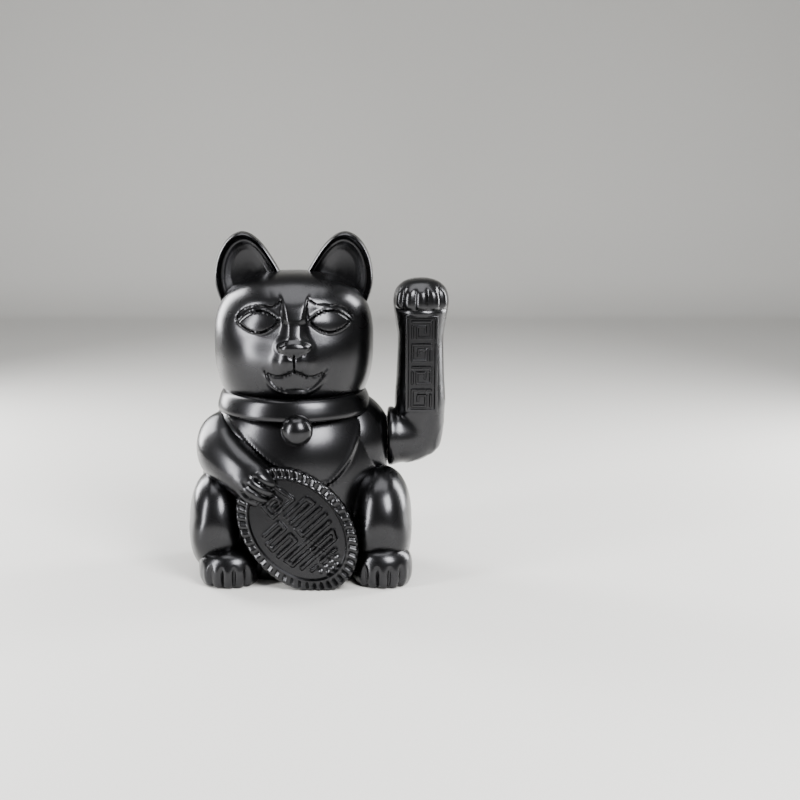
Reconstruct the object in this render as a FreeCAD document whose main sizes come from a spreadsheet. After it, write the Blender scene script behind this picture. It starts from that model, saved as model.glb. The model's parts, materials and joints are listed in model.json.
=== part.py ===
import FreeCAD, Part
import math
import os
import re
import Sketcher
from FreeCAD import Matrix, Placement, Rotation, Vector

# A beckoning cat figurine: a lacquered plastic cat of two glued shells that sits with a coin under its
# right paw, and a left arm that swings on a shaft. Inside are two AA cells in the base, a switch, and a
# pendulum whose magnet is pushed by a coil. The cat looks along -Y, +X is its raised arm's side, and
# z = 0 is the table. Lengths are in millimetres, measured from the head's axis; frame_x moves the whole
# cat so that the origin is under the middle of its outline.

doc = FreeCAD.newDocument("beckoning_cat")
sheet = doc.addObject("Spreadsheet::Sheet", "sizes")

sizes = {
    # the whole figure
    "frame_x": -22.2, "frame_y": 3.3, "wall": 2.6, "rim_z": 1.5,
    # head and torso: rounded ovals, squarer than an ellipse
    "squareness": 2.8,
    "head_wide": 69, "head_deep": 60, "head_y": 0, "head_z": 205, "head_up": 59.5, "head_down": 72,
    "torso_wide": 82, "torso_deep": 64, "torso_z": 70, "torso_up": 95, "torso_down": 110,
    "collar_low": 144, "collar_high": 161, "collar_low_r": 66, "collar_high_r": 62,
    "collar_y": -2, "collar_bulge": 1.6, "collar_thick": 22,
    # ears
    "ear_tip_x": 45, "ear_tip_z": 298, "ear_deep": 11, "ear_y": 6, "ear_dish": 4.5,
    # coin under the right paw
    "coin_long": 61, "coin_short": 44, "coin_thick": 21, "coin_x": 4, "coin_y": -57, "coin_z": 50,
    "coin_turn": 48, "coin_lean": 6, "coin_rim": 11, "coin_field": 2.5,
    # flat shoulder that the arm swings against, and the arm
    "side_inset": 0.5, "arm_gap": 1.0, "axle_z": 117.5, "stub_r": 24.5, "elbow_end": 126.5,
    "arm_x": 111, "arm_low_r": 22.5, "arm_waist_r": 20, "arm_paw_r": 24.3,
    "arm_top": 258.5, "arm_wall": 2.4, "plaque_wide": 28, "plaque_low": 143, "plaque_high": 228,
    "plaque_out": 22.5, "plaque_rim": 2.4, "plaque_sunk": 1.4,
    # base plate, its screws and feet
    "plate_thick": 4, "plate_gap": 0.3, "foot_r": 5, "foot_high": 2.5, "foot_x": 32, "foot_y": 40,
    "screw_r": 1.5, "screw_head_r": 2.8, "screw_head_high": 1.6, "screw_long": 14, "screw_x": 50, "screw_y": 33,
    "post_r": 5, "post_high": 20, "seam_pin_r": 2, "arm_boss_r": 4.2,
    # battery bay, two AA cells side by side along Y
    "cell_r": 7.25, "cell_long": 49.2, "cell_tip_r": 2.7, "cell_tip_long": 1.3, "cell_gap": 0.9, "cell_lift": 0.3,
    "bay_x": -27, "bay_side": 0.75, "bay_wall": 2, "bay_roof": 22.5, "bay_spring": 7, "contact_thick": 0.5,
    "contact_high": 11, "contact_half": 6, "spring_r": 3.2, "spring_wire_r": 0.4, "spring_turns": 4,
    # battery door, hinged on two stub pins
    "door_thick": 2.4, "door_gap": 0.3, "door_ledge": 1.8, "door_pin_r": 0.7, "door_pin_long": 2,
    "door_notch": 8,
    # switch
    "switch_x": 0, "switch_y": -42, "switch_long": 15, "switch_wide": 8, "switch_high": 7, "switch_skin": 1,
    "knob_long": 5, "knob_wide": 3.6, "knob_travel": 4, "knob_out": 0.8, "slider_long": 8, "slider_high": 3,
    # drive frame
    "frame_low": 8, "flange_thick": 3, "frame_in": 6, "frame_wall": 4, "frame_out": 58, "frame_half_y": 24,
    "frame_top_r": 12, "frame_bar_r": 2, "frame_screw_in": 14, "frame_screw_out": 54, "frame_screw_y": 20,
    "frame_boss_r": 4, "stop_y": 20, "stop_drop": 22, "stop_r": 3.6,
    # axle, bushings, clip
    "axle_r": 2.5, "axle_start": 1, "axle_end": 108, "bush_r": 4.5, "bush_flange_r": 6.5, "bush_flange": 1.5,
    "run_gap": 0.05, "clip_r": 4.6, "clip_thick": 0.8, "clip_groove": 0.4, "washer_r": 5, "washer_thick": 0.8,
    "hub_r": 6, "hub_flange_r": 14, "hub_flange": 3, "hub_long": 19, "axle_hole_gap": 2,
    # pendulum
    "lever_x": 36, "lever_thick": 6, "lever_wide": 10, "lever_hub_r": 8, "lever_hub_long": 14, "lever_long": 72,
    "weight_x": 26, "weight_y": 30, "weight_high": 22, "weight_drop": 52, "weight_shift": 1,
    "magnet_r": 9, "magnet_thick": 5, "cup_r": 11, "cup_thick": 5, "cup_depth": 3, "lever_screw_r": 1.25,
    # coil and board
    "air_gap": 4, "coil_r": 14, "coil_core_r": 6, "coil_bore_r": 3, "coil_high": 12, "bobbin_flange": 1.2,
    "bobbin_r": 15, "board_thick": 1.6, "board_start": 12.5, "board_end": 56.5, "board_half_y": 15.5,
    "board_hole_in": 15.5, "board_hole_out": 53.5, "board_hole_y": 12.5, "board_post_r": 2.6, "board_screw_r": 1,
    "chip_long": 5, "chip_wide": 6, "chip_high": 1.6, "chip_x": 17, "capacitor_r": 2.4, "capacitor_high": 8,
    "capacitor_x": 53.9, "lead_r": 0.8,
}

# Rounded forms of the body. A disc has its axis and the radius, low and high ends and edge rounding along
# it; a ball has a radius. Each is then placed by its other centre numbers.
forms = {
    "haunch_left": ("x", {"r": 44, "low": -91, "high": -45, "round": 22.8, "y": -29, "z": 50}),
    "haunch_right": ("x", {"r": 46, "low": 50, "high": 103, "round": 23, "y": -29, "z": 51}),
    "foot_left": ("z", {"r": 26, "low": -5, "high": 30, "round": 17, "x": -55, "y": -55}),
    "foot_right": ("z", {"r": 25, "low": -5, "high": 32, "round": 17.5, "x": 78, "y": -55}),
    "shoulder": ("ball", {"r": 42, "x": 47.5, "y": 0, "z": 117.5}),
    "upper_arm": ("ball", {"r": 28, "x": -59, "y": -14, "z": 114}),
    "fore_arm": ("ball", {"r": 21, "x": -46, "y": -44, "z": 103}),
    "paw": ("ball", {"r": 17.5, "x": -31, "y": -66, "z": 88}),
    "bell": ("ball", {"r": 13.5, "x": 4, "y": -66.5, "z": 135.5}),
    "tail": ("x", {"r": 13, "low": -8, "high": 52, "round": 12, "y": 64, "z": 26}),
}
for name, (kind, numbers) in forms.items():
    for key, number in numbers.items():
        sizes[f"{name}_{key}"] = number

for row, (alias, number) in enumerate(sizes.items(), start=1):
    sheet.set(f"A{row}", alias)
    sheet.set(f"B{row}", str(number))
    sheet.setAlias(f"B{row}", alias)
doc.recompute()

alias_pattern = re.compile(r"(?<![\w.])(" + "|".join(sorted(sizes, key=len, reverse=True)) + r")(?!\w)")


def size(alias):
    """A size from the sheet, as a number."""
    return float(sheet.get(alias))


def bound(text):
    """An expression whose bare names are cells of the sheet."""
    return alias_pattern.sub(r"sizes.\1", text)


def bind(obj, **expressions):
    """Ties properties to the sheet; x, y and z are its place."""
    for prop, text in expressions.items():
        path = f"Placement.Base.{prop}" if prop in ("x", "y", "z") else prop
        obj.setExpression(path, bound(str(text)))
    return obj


def solid(kind, name, turn=None, **expressions):
    """A Part primitive with its sizes and place tied to the sheet. turn is (axis, degrees)."""
    obj = doc.addObject(f"Part::{kind}", name)
    if turn:
        obj.Placement = Placement(Vector(), Rotation(Vector(*turn[0]), turn[1]))
    return bind(obj, **expressions)


def box(name, x0, x1, y0, y1, z0, z1):
    """A box between expressions for its low and high sides."""
    return solid("Box", name, x=x0, y=y0, z=z0, Length=f"({x1}) - ({x0})",
                 Width=f"({y1}) - ({y0})", Height=f"({z1}) - ({z0})")


along = {"x": ((0, 1, 0), 90), "y": ((1, 0, 0), -90), "z": None}


def rod(name, radius, start, end, axis="z", **place):
    """A cylinder along an axis between two expressions; place gives the other two coordinates."""
    where = {"x": "0", "y": "0", "z": "0", **place}
    where[axis] = start
    return solid("Cylinder", name, along[axis], Radius=radius, Height=f"({end}) - ({start})", **where)


def fuse(name, *pieces):
    obj = doc.addObject("Part::MultiFuse", name)
    obj.Shapes = list(pieces)
    return obj


def chain(name, *pieces):
    """A fuse made one piece at a time, which the curved forms need."""
    whole = pieces[0]
    for k, piece in enumerate(pieces[1:], start=1):
        whole = fuse(name if k == len(pieces) - 1 else f"{name}_{k}", whole, piece)
    return whole


def cut(name, base, *tools):
    tool = tools[0] if len(tools) == 1 else fuse(f"{name}_tools", *tools)
    obj = doc.addObject("Part::Cut", name)
    obj.Base = base
    obj.Tool = tool
    return obj


def common(name, *pieces):
    obj = doc.addObject("Part::MultiCommon", name)
    obj.Shapes = list(pieces)
    return obj


def group(name, *pieces):
    """Separate solids in one node."""
    obj = doc.addObject("Part::Compound", name)
    obj.Links = list(pieces)
    return obj


def feature(name, shape):
    obj = doc.addObject("Part::Feature", name)
    obj.Shape = shape
    return obj


parts = []


def node(label, obj):
    """Marks an object as a sub-part: its label names its file, and frame_x, frame_y shift it."""
    if obj.TypeId in ("Part::Box", "Part::Cylinder"):
        obj = group(f"{label}_shape", obj)
    obj.Label = label
    bind(obj, x="frame_x", y="frame_y")
    parts.append(obj)
    return obj


# ---- PartDesign helpers ----

def new_body(name):
    return doc.addObject("PartDesign::Body", name)


def new_sketch(body, name, role, lift="0"):
    """A sketch on one of the body's own origin planes, lifted along the plane's normal."""
    sketch = body.newObject("Sketcher::SketchObject", name)
    base = [f for f in body.Origin.OriginFeatures if f.Role == role][0]
    sketch.AttachmentSupport = (base, [""])
    sketch.MapMode = "FlatFace"
    sketch.setExpression("AttachmentOffset.Base.z", bound(lift))
    return sketch


def draw_point(sketch, geo, end, across, up):
    """Ties a point of the sketch to the origin."""
    for kind, text in (("DistanceX", across), ("DistanceY", up)):
        number = sketch.addConstraint(Sketcher.Constraint(kind, -1, 1, geo, end, 1.0))
        sketch.setExpression(f"Constraints[{number}]", bound(text))


def draw_circle(sketch, radius, across="0", up="0"):
    geo = sketch.addGeometry(Part.Circle(Vector(1, 1, 0), Vector(0, 0, 1), 1.0))
    number = sketch.addConstraint(Sketcher.Constraint("Radius", geo, 1.0))
    sketch.setExpression(f"Constraints[{number}]", bound(radius))
    draw_point(sketch, geo, 3, across, up)


def draw_polygon(sketch, corners):
    """A closed outline through corners given as pairs of expressions."""
    count = len(corners)
    start = []
    for k in range(count):
        a, b = 2 * math.pi * k / count, 2 * math.pi * (k + 1) / count
        line = Part.LineSegment(Vector(math.cos(a), math.sin(a), 0), Vector(math.cos(b), math.sin(b), 0))
        start.append(sketch.addGeometry(line))
    for k in range(count):
        sketch.addConstraint(Sketcher.Constraint("Coincident", start[k - 1], 2, start[k], 1))
        draw_point(sketch, start[k], 1, *corners[k])


def draw_rectangle(sketch, x0, x1, y0, y1):
    draw_polygon(sketch, [(x0, y0), (x1, y0), (x1, y1), (x0, y1)])


def pad(body, sketch, length):
    obj = body.newObject("PartDesign::Pad", f"{sketch.Name}_pad")
    obj.Profile = sketch
    obj.setExpression("Length", bound(length))
    return obj


def pocket(body, sketch, length, reverse=False):
    obj = body.newObject("PartDesign::Pocket", f"{sketch.Name}_pocket")
    obj.Profile = sketch
    obj.Reversed = reverse
    obj.setExpression("Length", bound(length))
    return obj


# ---- forms of the shells ----

side_x = "(torso_wide - side_inset)"
arm_face_x = f"({side_x} + arm_gap)"


half_turns = {"front": 170, "rear": -10}


def rounded_oval(side, half_wide, half_deep, up, down, centre):
    """A little over half of a turned form whose outline is a rounded square: |r|^n + |z|^n = 1, stretched up
    and down, then squeezed to an oval."""
    n = size("squareness")
    steps = 10
    points = []
    for k in range(-steps, steps + 1):
        angle = math.pi / 2 * k / steps
        reach = up if k > 0 else down
        rise = math.copysign(abs(math.sin(angle)) ** (2 / n), angle)
        points.append(Vector(half_wide * math.cos(angle) ** (2 / n) if abs(k) < steps else 0, 0, reach * rise))
    curve = Part.BSplineCurve()
    curve.interpolate(points, InitialTangent=Vector(1, 0, 0), FinalTangent=Vector(-1, 0, 0))
    closing = Part.LineSegment(points[-1], points[0])
    face = Part.Face(Part.Wire([curve.toShape(), closing.toShape()]))
    face.rotate(Vector(), Vector(0, 0, 1), half_turns[side])
    turned = face.revolve(Vector(), Vector(0, 0, 1), 200)
    squeeze = Matrix()
    squeeze.scale(1, half_deep / half_wide, 1)
    form = turned.transformGeometry(squeeze)
    form.translate(centre)
    return form


def head_form(side, inset=0):
    return rounded_oval(side, size("head_wide") - inset, size("head_deep") - inset, size("head_up") - inset,
                        size("head_down") - inset, Vector(0, size("head_y"), size("head_z")))


def torso_form(side, inset=0):
    return rounded_oval(side, size("torso_wide") - inset, size("torso_deep") - inset, size("torso_up") - inset,
                        size("torso_down") - inset / 2, Vector(0, 0, size("torso_z")))


def rounded_form(name):
    """One of the rounded forms."""
    kind, numbers = forms[name]
    place = {key: f"{name}_{key}" for key in "xyz" if key in numbers}
    if kind == "ball":
        return solid("Sphere", name, Radius=f"{name}_r", **place)
    disc = rod(f"{name}_disc", f"{name}_r", f"{name}_low", f"{name}_high", kind, **place)
    doc.recompute()
    smooth = doc.addObject("Part::Fillet", name)
    smooth.Base = disc
    radius = size(f"{name}_round")
    smooth.Edges = [(k, radius, radius) for k, edge in enumerate(disc.Shape.Edges, start=1)
                    if isinstance(edge.Curve, Part.Circle)]
    return smooth


def collar_form():
    """A band round the neck, a little wider at its lower edge, with a bulged face."""
    low, high = size("collar_low"), size("collar_high")
    low_r, high_r = size("collar_low_r"), size("collar_high_r")
    inner = high_r - size("collar_thick")
    middle = Vector((low_r + high_r) / 2 + size("collar_bulge"), 0, (low + high) / 2)
    corners = [Vector(inner, 0, low), Vector(low_r, 0, low), Vector(high_r, 0, high), Vector(inner, 0, high)]
    edges = [Part.LineSegment(corners[0], corners[1]).toShape(),
             Part.Arc(corners[1], middle, corners[2]).toShape(),
             Part.LineSegment(corners[2], corners[3]).toShape(),
             Part.LineSegment(corners[3], corners[0]).toShape()]
    ring = Part.Face(Part.Wire(edges)).revolve(Vector(), Vector(0, 0, 1), 360)
    ring.Placement = Placement(Vector(0, size("collar_y"), 0), Rotation(Vector(0, 0, 1), 100))
    return ring


def ear_form(side):
    """A rounded leaf, thin at its edge, dished in front. side is -1 on the cat's right."""
    tip_x, tip_z = size("ear_tip_x"), size("ear_tip_z")
    head_wide, deep = size("head_wide"), size("ear_deep")
    outline = [Vector(side * x, 0, z) for x, z in (
        (head_wide - 8, tip_z - 75), (head_wide - 0.5, tip_z - 48), (head_wide - 1, tip_z - 28),
        (head_wide - 10, tip_z - 7), (tip_x, tip_z), (tip_x - 13, tip_z - 6), (tip_x - 24, tip_z - 22),
        (8, tip_z - 42), (12, tip_z - 75))]
    curve = Part.BSplineCurve()
    curve.interpolate(outline + [outline[0]])
    leaf = Part.Face(Part.Wire([curve.toShape()])).extrude(Vector(0, 4 * deep, 0))
    leaf.translate(Vector(0, size("ear_y") - 2 * deep, 0))
    ball = Part.makeSphere(1)
    thin = Matrix()
    thin.scale(62, deep, 66)
    lens = ball.transformGeometry(thin)
    lens.translate(Vector(side * (tip_x - 7), size("ear_y"), tip_z - 44))
    dish_shape = Matrix()
    dish_shape.scale(20, size("ear_dish"), 30)
    dish = ball.transformGeometry(dish_shape)
    dish.translate(Vector(side * (tip_x - 3), size("ear_y") - deep, tip_z - 36))
    return leaf.common(lens).cut(dish)


def coin_form():
    """An oval plate with a sunk field, leaning back on the belly with its foot on the table."""
    long, short, thick = size("coin_long"), size("coin_short"), size("coin_thick")
    rim, sunk = size("coin_rim"), size("coin_field")

    def oval(long_radius, short_radius, start, depth):
        edge = Part.Ellipse(Vector(0, 0, start), long_radius, short_radius).toShape()
        return Part.Face(Part.Wire([edge])).extrude(Vector(0, 0, depth))

    coin = oval(long, short, 0, thick).cut(oval(long - rim, short - rim, thick - sunk, sunk + 1))
    turn = Rotation(Vector(0, 1, 0), size("coin_turn"))
    lean = Rotation(Vector(1, 0, 0), -size("coin_lean"))
    face_forward = Rotation(Vector(1, 0, 0), 90)
    coin.Placement = Placement(Vector(size("coin_x"), size("coin_y"), size("coin_z")), lean * turn * face_forward)
    return coin


def half_space(name, low_y, high_y):
    reach = 400
    return box(name, f"-{reach}", f"{reach}", low_y, high_y, f"-{reach}", f"{reach}")


def shell_post(name, side_x, side_y):
    """A screw post above the base plate, with a web out to the wall. The sides are "" or "-"."""
    x, y = f"{side_x}screw_x", f"{side_y}screw_y"
    low, high = "rim_z + plate_thick", "rim_z + plate_thick + post_high"
    web_x = (x, f"{x} + 40") if side_x == "" else (f"{x} - 40", x)
    return [rod(f"{name}_rod", "post_r", low, high, x=x, y=y),
            box(f"{name}_web", *web_x, f"{y} - 1.5", f"{y} + 1.5", low, high)]


seam_spots = [("torso_wide - 6", "axle_z + 20.5"), ("3 - torso_wide", "axle_z - 3.5")]


def seam_rods(name, radius, low_y, high_y):
    """Rods across the seam, in the thick part of each shoulder."""
    return [rod(f"{name}_{k}", radius, low_y, high_y, "y", x=x, z=z) for k, (x, z) in enumerate(seam_spots)]


past_side = box("past_side", side_x, f"{side_x} + 40", "-34", "34", "axle_z - 27", "axle_z + 40")
below_rim = box("below_rim", "-300", "300", "-300", "300", "-200", "rim_z")
axle_hole = rod("axle_hole", "axle_r + axle_hole_gap", f"{side_x} - 30", f"{side_x} + 1", "x", z="axle_z")
ears = {"ear_left": feature("ear_left", ear_form(-1)), "ear_right": feature("ear_right", ear_form(1)),
        "collar": feature("collar", collar_form()), "coin": feature("coin", coin_form())}
outer_forms = {name: rounded_form(name) for name in forms}
hollow_rods = {name: rod(f"{name}_room", f"{name}_r - {name}_round / 2", *ends, "x", y=f"{name}_y", z=f"{name}_z")
               for name, ends in (("haunch_left", ("haunch_left_low + 7", "haunch_left_high")),
                                  ("haunch_right", ("haunch_right_low", "haunch_right_high - 7")))}
seen_from = {
    "front": ["bell", "coin", "haunch_left", "haunch_right", "foot_left", "foot_right", "shoulder", "upper_arm", "fore_arm", "paw"],
    "rear": ["haunch_left", "haunch_right", "shoulder", "upper_arm", "tail"],
}
corner_names = ["right_front", "left_front", "right_rear", "left_rear"]
corners = [("", "-"), ("-", "-"), ("", ""), ("-", "")]


def shell_shape(side):
    """One half of the cat's skin: the forms on that side of the seam, hollowed, and cut at the seam."""
    outside = chain(f"{side}_outside", feature(f"{side}_head", head_form(side)), feature(f"{side}_torso", torso_form(side)),
                    ears["collar"], ears["ear_left"], ears["ear_right"],
                    *[ears.get(name) or outer_forms[name] for name in seen_from[side]])
    beyond = half_space(f"{side}_beyond", *(("0", "400") if side == "front" else ("-400", "0")))
    trimmed = cut(f"{side}_trimmed", cut(f"{side}_above_rim", cut(f"{side}_solid", outside, beyond), below_rim), past_side)
    inside = chain(f"{side}_inside", feature(f"{side}_head_hollow", head_form(side, size("wall"))),
                   feature(f"{side}_torso_hollow", torso_form(side, size("wall"))))
    kept = [piece for name, (sx, sy) in zip(corner_names, corners) if name.endswith(side)
            for piece in shell_post(f"post_{name}", sx, sy)]
    cavity = cut(f"{side}_cavity", inside, *kept)
    holes = [rod(f"post_hole_{name}", "screw_r", "0", "rim_z + screw_long + 2", x=f"{sx}screw_x", y=f"{sy}screw_y")
             for name, (sx, sy) in zip(corner_names, corners) if name.endswith(side)]
    skin = cut(f"{side}_skin", trimmed, cavity)
    roomy = cut(f"{side}_roomy", skin, *hollow_rods.values())
    return cut(f"{side}_bored", roomy, axle_hole, *holes)


front_pins = common("front_pins", fuse("front_pin_rods", *seam_rods("seam_pin", "seam_pin_r", "-4", "5")),
                    box("pin_room", "-300", "300", "-3", "5", "0", "300"))
node("front_shell", fuse("front_shell_shape", shell_shape("front"), front_pins))
node("rear_shell", cut("rear_shell_shape", shell_shape("rear"), *seam_rods("seam_socket", "seam_pin_r + 0.05", "-1", "5.3")))

# ---- base plate ----

plate_reach = "pow(1 - pow((torso_z - rim_z) / (torso_down - wall / 2); squareness); 1 / squareness)"
plate_top = "(rim_z + plate_thick)"
plate_edge = doc.addObject("Part::Ellipse", "plate_edge")
bind(plate_edge, MajorRadius=f"(torso_wide - wall) * {plate_reach} - plate_gap",
     MinorRadius=f"(torso_deep - wall) * {plate_reach} - plate_gap", z="rim_z")
plate = doc.addObject("Part::Extrusion", "plate")
plate.Base = plate_edge
plate.DirMode = "Custom"
plate.Dir = Vector(0, 0, 1)
plate.Solid = True
bind(plate, LengthFwd="plate_thick")

bay_low_x = "(bay_x - cell_r * 2 - cell_gap / 2 - bay_side)"
bay_high_x = "(bay_x + cell_r * 2 + cell_gap / 2 + bay_side)"
bay_half_y = "((cell_long + cell_tip_long + bay_spring) / 2)"
door_high_x = f"({bay_high_x} + 0.3)"
barrel_r = "(door_thick / 2)"
door_axis_z = f"(rim_z + {barrel_r})"
bay_outer = box("bay_outer", f"{bay_low_x} - bay_wall", f"{bay_high_x} + bay_wall", f"-{bay_half_y} - bay_wall",
                f"{bay_half_y} + bay_wall", "rim_z + 1", "bay_roof")
bay_inner = box("bay_inner", bay_low_x, bay_high_x, f"-{bay_half_y}", bay_half_y, "0", "bay_roof - bay_wall")
door_recess = box("door_recess", f"{bay_low_x} - door_ledge", f"{door_high_x} + {barrel_r} + door_gap",
                  f"-{bay_half_y} - door_ledge", f"{bay_half_y} + door_ledge", "0", "rim_z + door_thick + 0.2")
door_pin_holes = rod("door_pin_holes", "door_pin_r + run_gap", f"-{bay_half_y} - door_ledge - door_pin_long",
                     f"{bay_half_y} + door_ledge + door_pin_long", "y", x=door_high_x, z=door_axis_z)
frame_spots = [(x, y) for x in ("frame_screw_in", "frame_screw_out") for y in ("-frame_screw_y", "frame_screw_y")]
frame_bosses = [rod(f"frame_boss_{k}", "frame_boss_r", "rim_z + 1", "frame_low", x=x, y=y)
                for k, (x, y) in enumerate(frame_spots)]
frame_boss_holes = [rod(f"frame_boss_hole_{k}", "screw_r", "frame_low - 5", "frame_low + 1", x=x, y=y)
                    for k, (x, y) in enumerate(frame_spots)]
plate_holes = []
for name, (sx, sy) in zip(corner_names, corners):
    plate_holes += [rod(f"plate_hole_{name}", "screw_r + 0.1", "0", f"{plate_top} + 1", x=f"{sx}screw_x", y=f"{sy}screw_y"),
                    rod(f"plate_sink_{name}", "screw_head_r + 0.2", "0", "rim_z + screw_head_high + 0.3",
                        x=f"{sx}screw_x", y=f"{sy}screw_y"),
                    rod(f"foot_sink_{name}", "foot_r + run_gap", "0", "foot_high", x=f"{sx}foot_x", y=f"{sy}foot_y")]
knob_slot = box("knob_slot", "switch_x - (knob_long + knob_travel) / 2 - 0.3", "switch_x + (knob_long + knob_travel) / 2 + 0.3",
                "switch_y - knob_wide / 2 - 0.2", "switch_y + knob_wide / 2 + 0.2", "0", f"{plate_top} + 1")
switch_pegs = [rod(f"switch_peg_{k}", "1", "rim_z + 1", f"{plate_top} + 2.5", x=f"switch_x {sign} (switch_long / 2 + 2.5)", y="switch_y")
               for k, sign in enumerate("-+")]
node("base_plate", cut("base_plate_shape",
                       cut("base_body", fuse("base_solid", plate, bay_outer, *frame_bosses, *switch_pegs), bay_inner),
                       door_recess, door_pin_holes, knob_slot, *frame_boss_holes, *plate_holes))


def screw(label, long, head_high="screw_head_high", radius="screw_r - 0.05", head_r="screw_head_r", upward=False, **place):
    """A pan-head screw with a cross slot, its head at the place given; upward turns its tip up."""
    z = place.pop("z")
    tip = (z, f"{z} + {long}") if upward else (f"{z} - {long}", z)
    head = (f"{z} - {head_high}", z) if upward else (z, f"{z} + {head_high}")
    slot_z = (f"{z} - {head_high}", f"{z} - {head_high} / 2") if upward else (f"{z} + {head_high} / 2", f"{z} + {head_high}")
    body = fuse(f"{label}_body", rod(f"{label}_shank", radius, *tip, **place), rod(f"{label}_head", head_r, *head, **place))
    x, y = place["x"], place["y"]
    slots = [box(f"{label}_slot_{k}", f"{x} - {a}", f"{x} + {a}", f"{y} - {b}", f"{y} + {b}", *slot_z)
             for k, (a, b) in enumerate(((f"{head_r} * 0.6", "0.3"), ("0.3", f"{head_r} * 0.6")))]
    return cut(f"{label}_shape", body, *slots)


node("base_screws", group("base_screw_set", *[
    screw(f"base_screw_{name}", "screw_long - screw_head_high", upward=True, x=f"{sx}screw_x", y=f"{sy}screw_y",
          z="rim_z + screw_head_high + 0.3") for name, (sx, sy) in zip(corner_names, corners)]))
for name, (sx, sy) in zip(corner_names, corners):
    foot_body = rod(f"foot_{name}_disc", "foot_r", "0", "foot_high", x=f"{sx}foot_x", y=f"{sy}foot_y")
    node(f"rubber_foot_{name}", cut(f"rubber_foot_{name}_shape", foot_body,
                                    rod(f"foot_{name}_cup", "foot_r - 1.6", "-1", "0.5", x=f"{sx}foot_x", y=f"{sy}foot_y")))

# ---- batteries and contacts ----

cell_z = "(rim_z + door_thick + cell_lift + cell_r)"


def cell(label, x, tip_front):
    """An AA cell along Y, its tip towards the front or the back of the bay."""
    if tip_front:
        tip, can = (f"-{bay_half_y}", f"cell_tip_long - {bay_half_y}"), f"cell_tip_long - {bay_half_y}"
    else:
        tip, can = (f"{bay_half_y} - cell_tip_long", bay_half_y), f"{bay_half_y} - cell_tip_long - cell_long"
    start = f"{can} + contact_thick" if tip_front else f"{can} - contact_thick"
    shift = "contact_thick" if tip_front else "-contact_thick"
    return fuse(f"{label}_shape", rod(f"{label}_can", "cell_r", start, f"{start} + cell_long", "y", x=x, z=cell_z),
                rod(f"{label}_tip", "cell_tip_r", f"{tip[0]} + {shift}", f"{tip[1]} + {shift}", "y", x=x, z=cell_z))


cell_one_x, cell_two_x = "(bay_x - cell_r - cell_gap / 2)", "(bay_x + cell_r + cell_gap / 2)"
node("battery_cell_one", cell("battery_cell_one", cell_one_x, True))
node("battery_cell_two", cell("battery_cell_two", cell_two_x, False))


def contact_spring(x, back):
    """A coil spring against the flat end of a cell, standing on the contact at one end of the bay."""
    half_y = (size("cell_long") + size("cell_tip_long") + size("bay_spring")) / 2 - size("contact_thick")
    long = size("bay_spring") - 2 * size("contact_thick")
    wire_r, turns = size("spring_wire_r"), size("spring_turns")
    pitch = (long - 1.6 * wire_r) / turns
    helix = Part.makeHelix(pitch, pitch * turns, size("spring_r"), 8)
    section = Part.Wire(Part.makeCircle(wire_r, Vector(size("spring_r"), 0, 0), Vector(0, 1, 0)))
    wire = Part.Wire(helix).makePipeShell([section], True, False)
    cell_z = size("rim_z") + size("door_thick") + size("cell_lift") + size("cell_r")
    turn = Rotation(Vector(1, 0, 0), 90 if back else -90)
    base_y = half_y - wire_r / 2 if back else wire_r / 2 - half_y
    wire.Placement = Placement(Vector(x, base_y, cell_z), turn)
    return wire


def contact_plate(name, low_x, high_x, back):
    y = (f"{bay_half_y} - contact_thick", bay_half_y) if back else (f"-{bay_half_y}", f"contact_thick - {bay_half_y}")
    return box(name, low_x, high_x, *y, f"{cell_z} - contact_high / 2", f"{cell_z} + contact_high / 2")


one_x = size("bay_x") - size("cell_r") - size("cell_gap") / 2
two_x = size("bay_x") + size("cell_r") + size("cell_gap") / 2
node("contact_plus", contact_plate("contact_plus_plate", f"{cell_one_x} - contact_half", f"{cell_one_x} + contact_half", False))
node("contact_minus", fuse("contact_minus_shape",
                           contact_plate("contact_minus_plate", f"{cell_two_x} - contact_half", f"{cell_two_x} + contact_half", False),
                           feature("contact_minus_spring", contact_spring(two_x, False))))
node("contact_bridge", fuse("contact_bridge_shape",
                            contact_plate("contact_bridge_plate", f"{cell_one_x} - contact_half", f"{cell_two_x} + contact_half", True),
                            feature("contact_bridge_spring", contact_spring(one_x, True))))

# ---- battery door ----

door_half_y = f"({bay_half_y} + door_ledge - door_gap)"
door_plate = box("door_plate", f"{bay_low_x} - door_ledge + door_gap", door_high_x, f"-{door_half_y}", door_half_y,
                 "rim_z", "rim_z + door_thick")
barrel = rod("door_barrel", barrel_r, f"-{door_half_y}", door_half_y, "y", x=door_high_x, z=door_axis_z)
door_pins = rod("door_pins", "door_pin_r", f"-{door_half_y} - door_pin_long", f"{door_half_y} + door_pin_long", "y",
                x=door_high_x, z=door_axis_z)
door_notch = rod("door_notch_cut", "door_notch", "0", "rim_z + 0.9", x=f"{bay_low_x} - door_ledge + 1", y="0")
node("battery_door", cut("battery_door_shape", fuse("battery_door_body", door_plate, barrel, door_pins), door_notch))

# ---- switch ----

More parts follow.
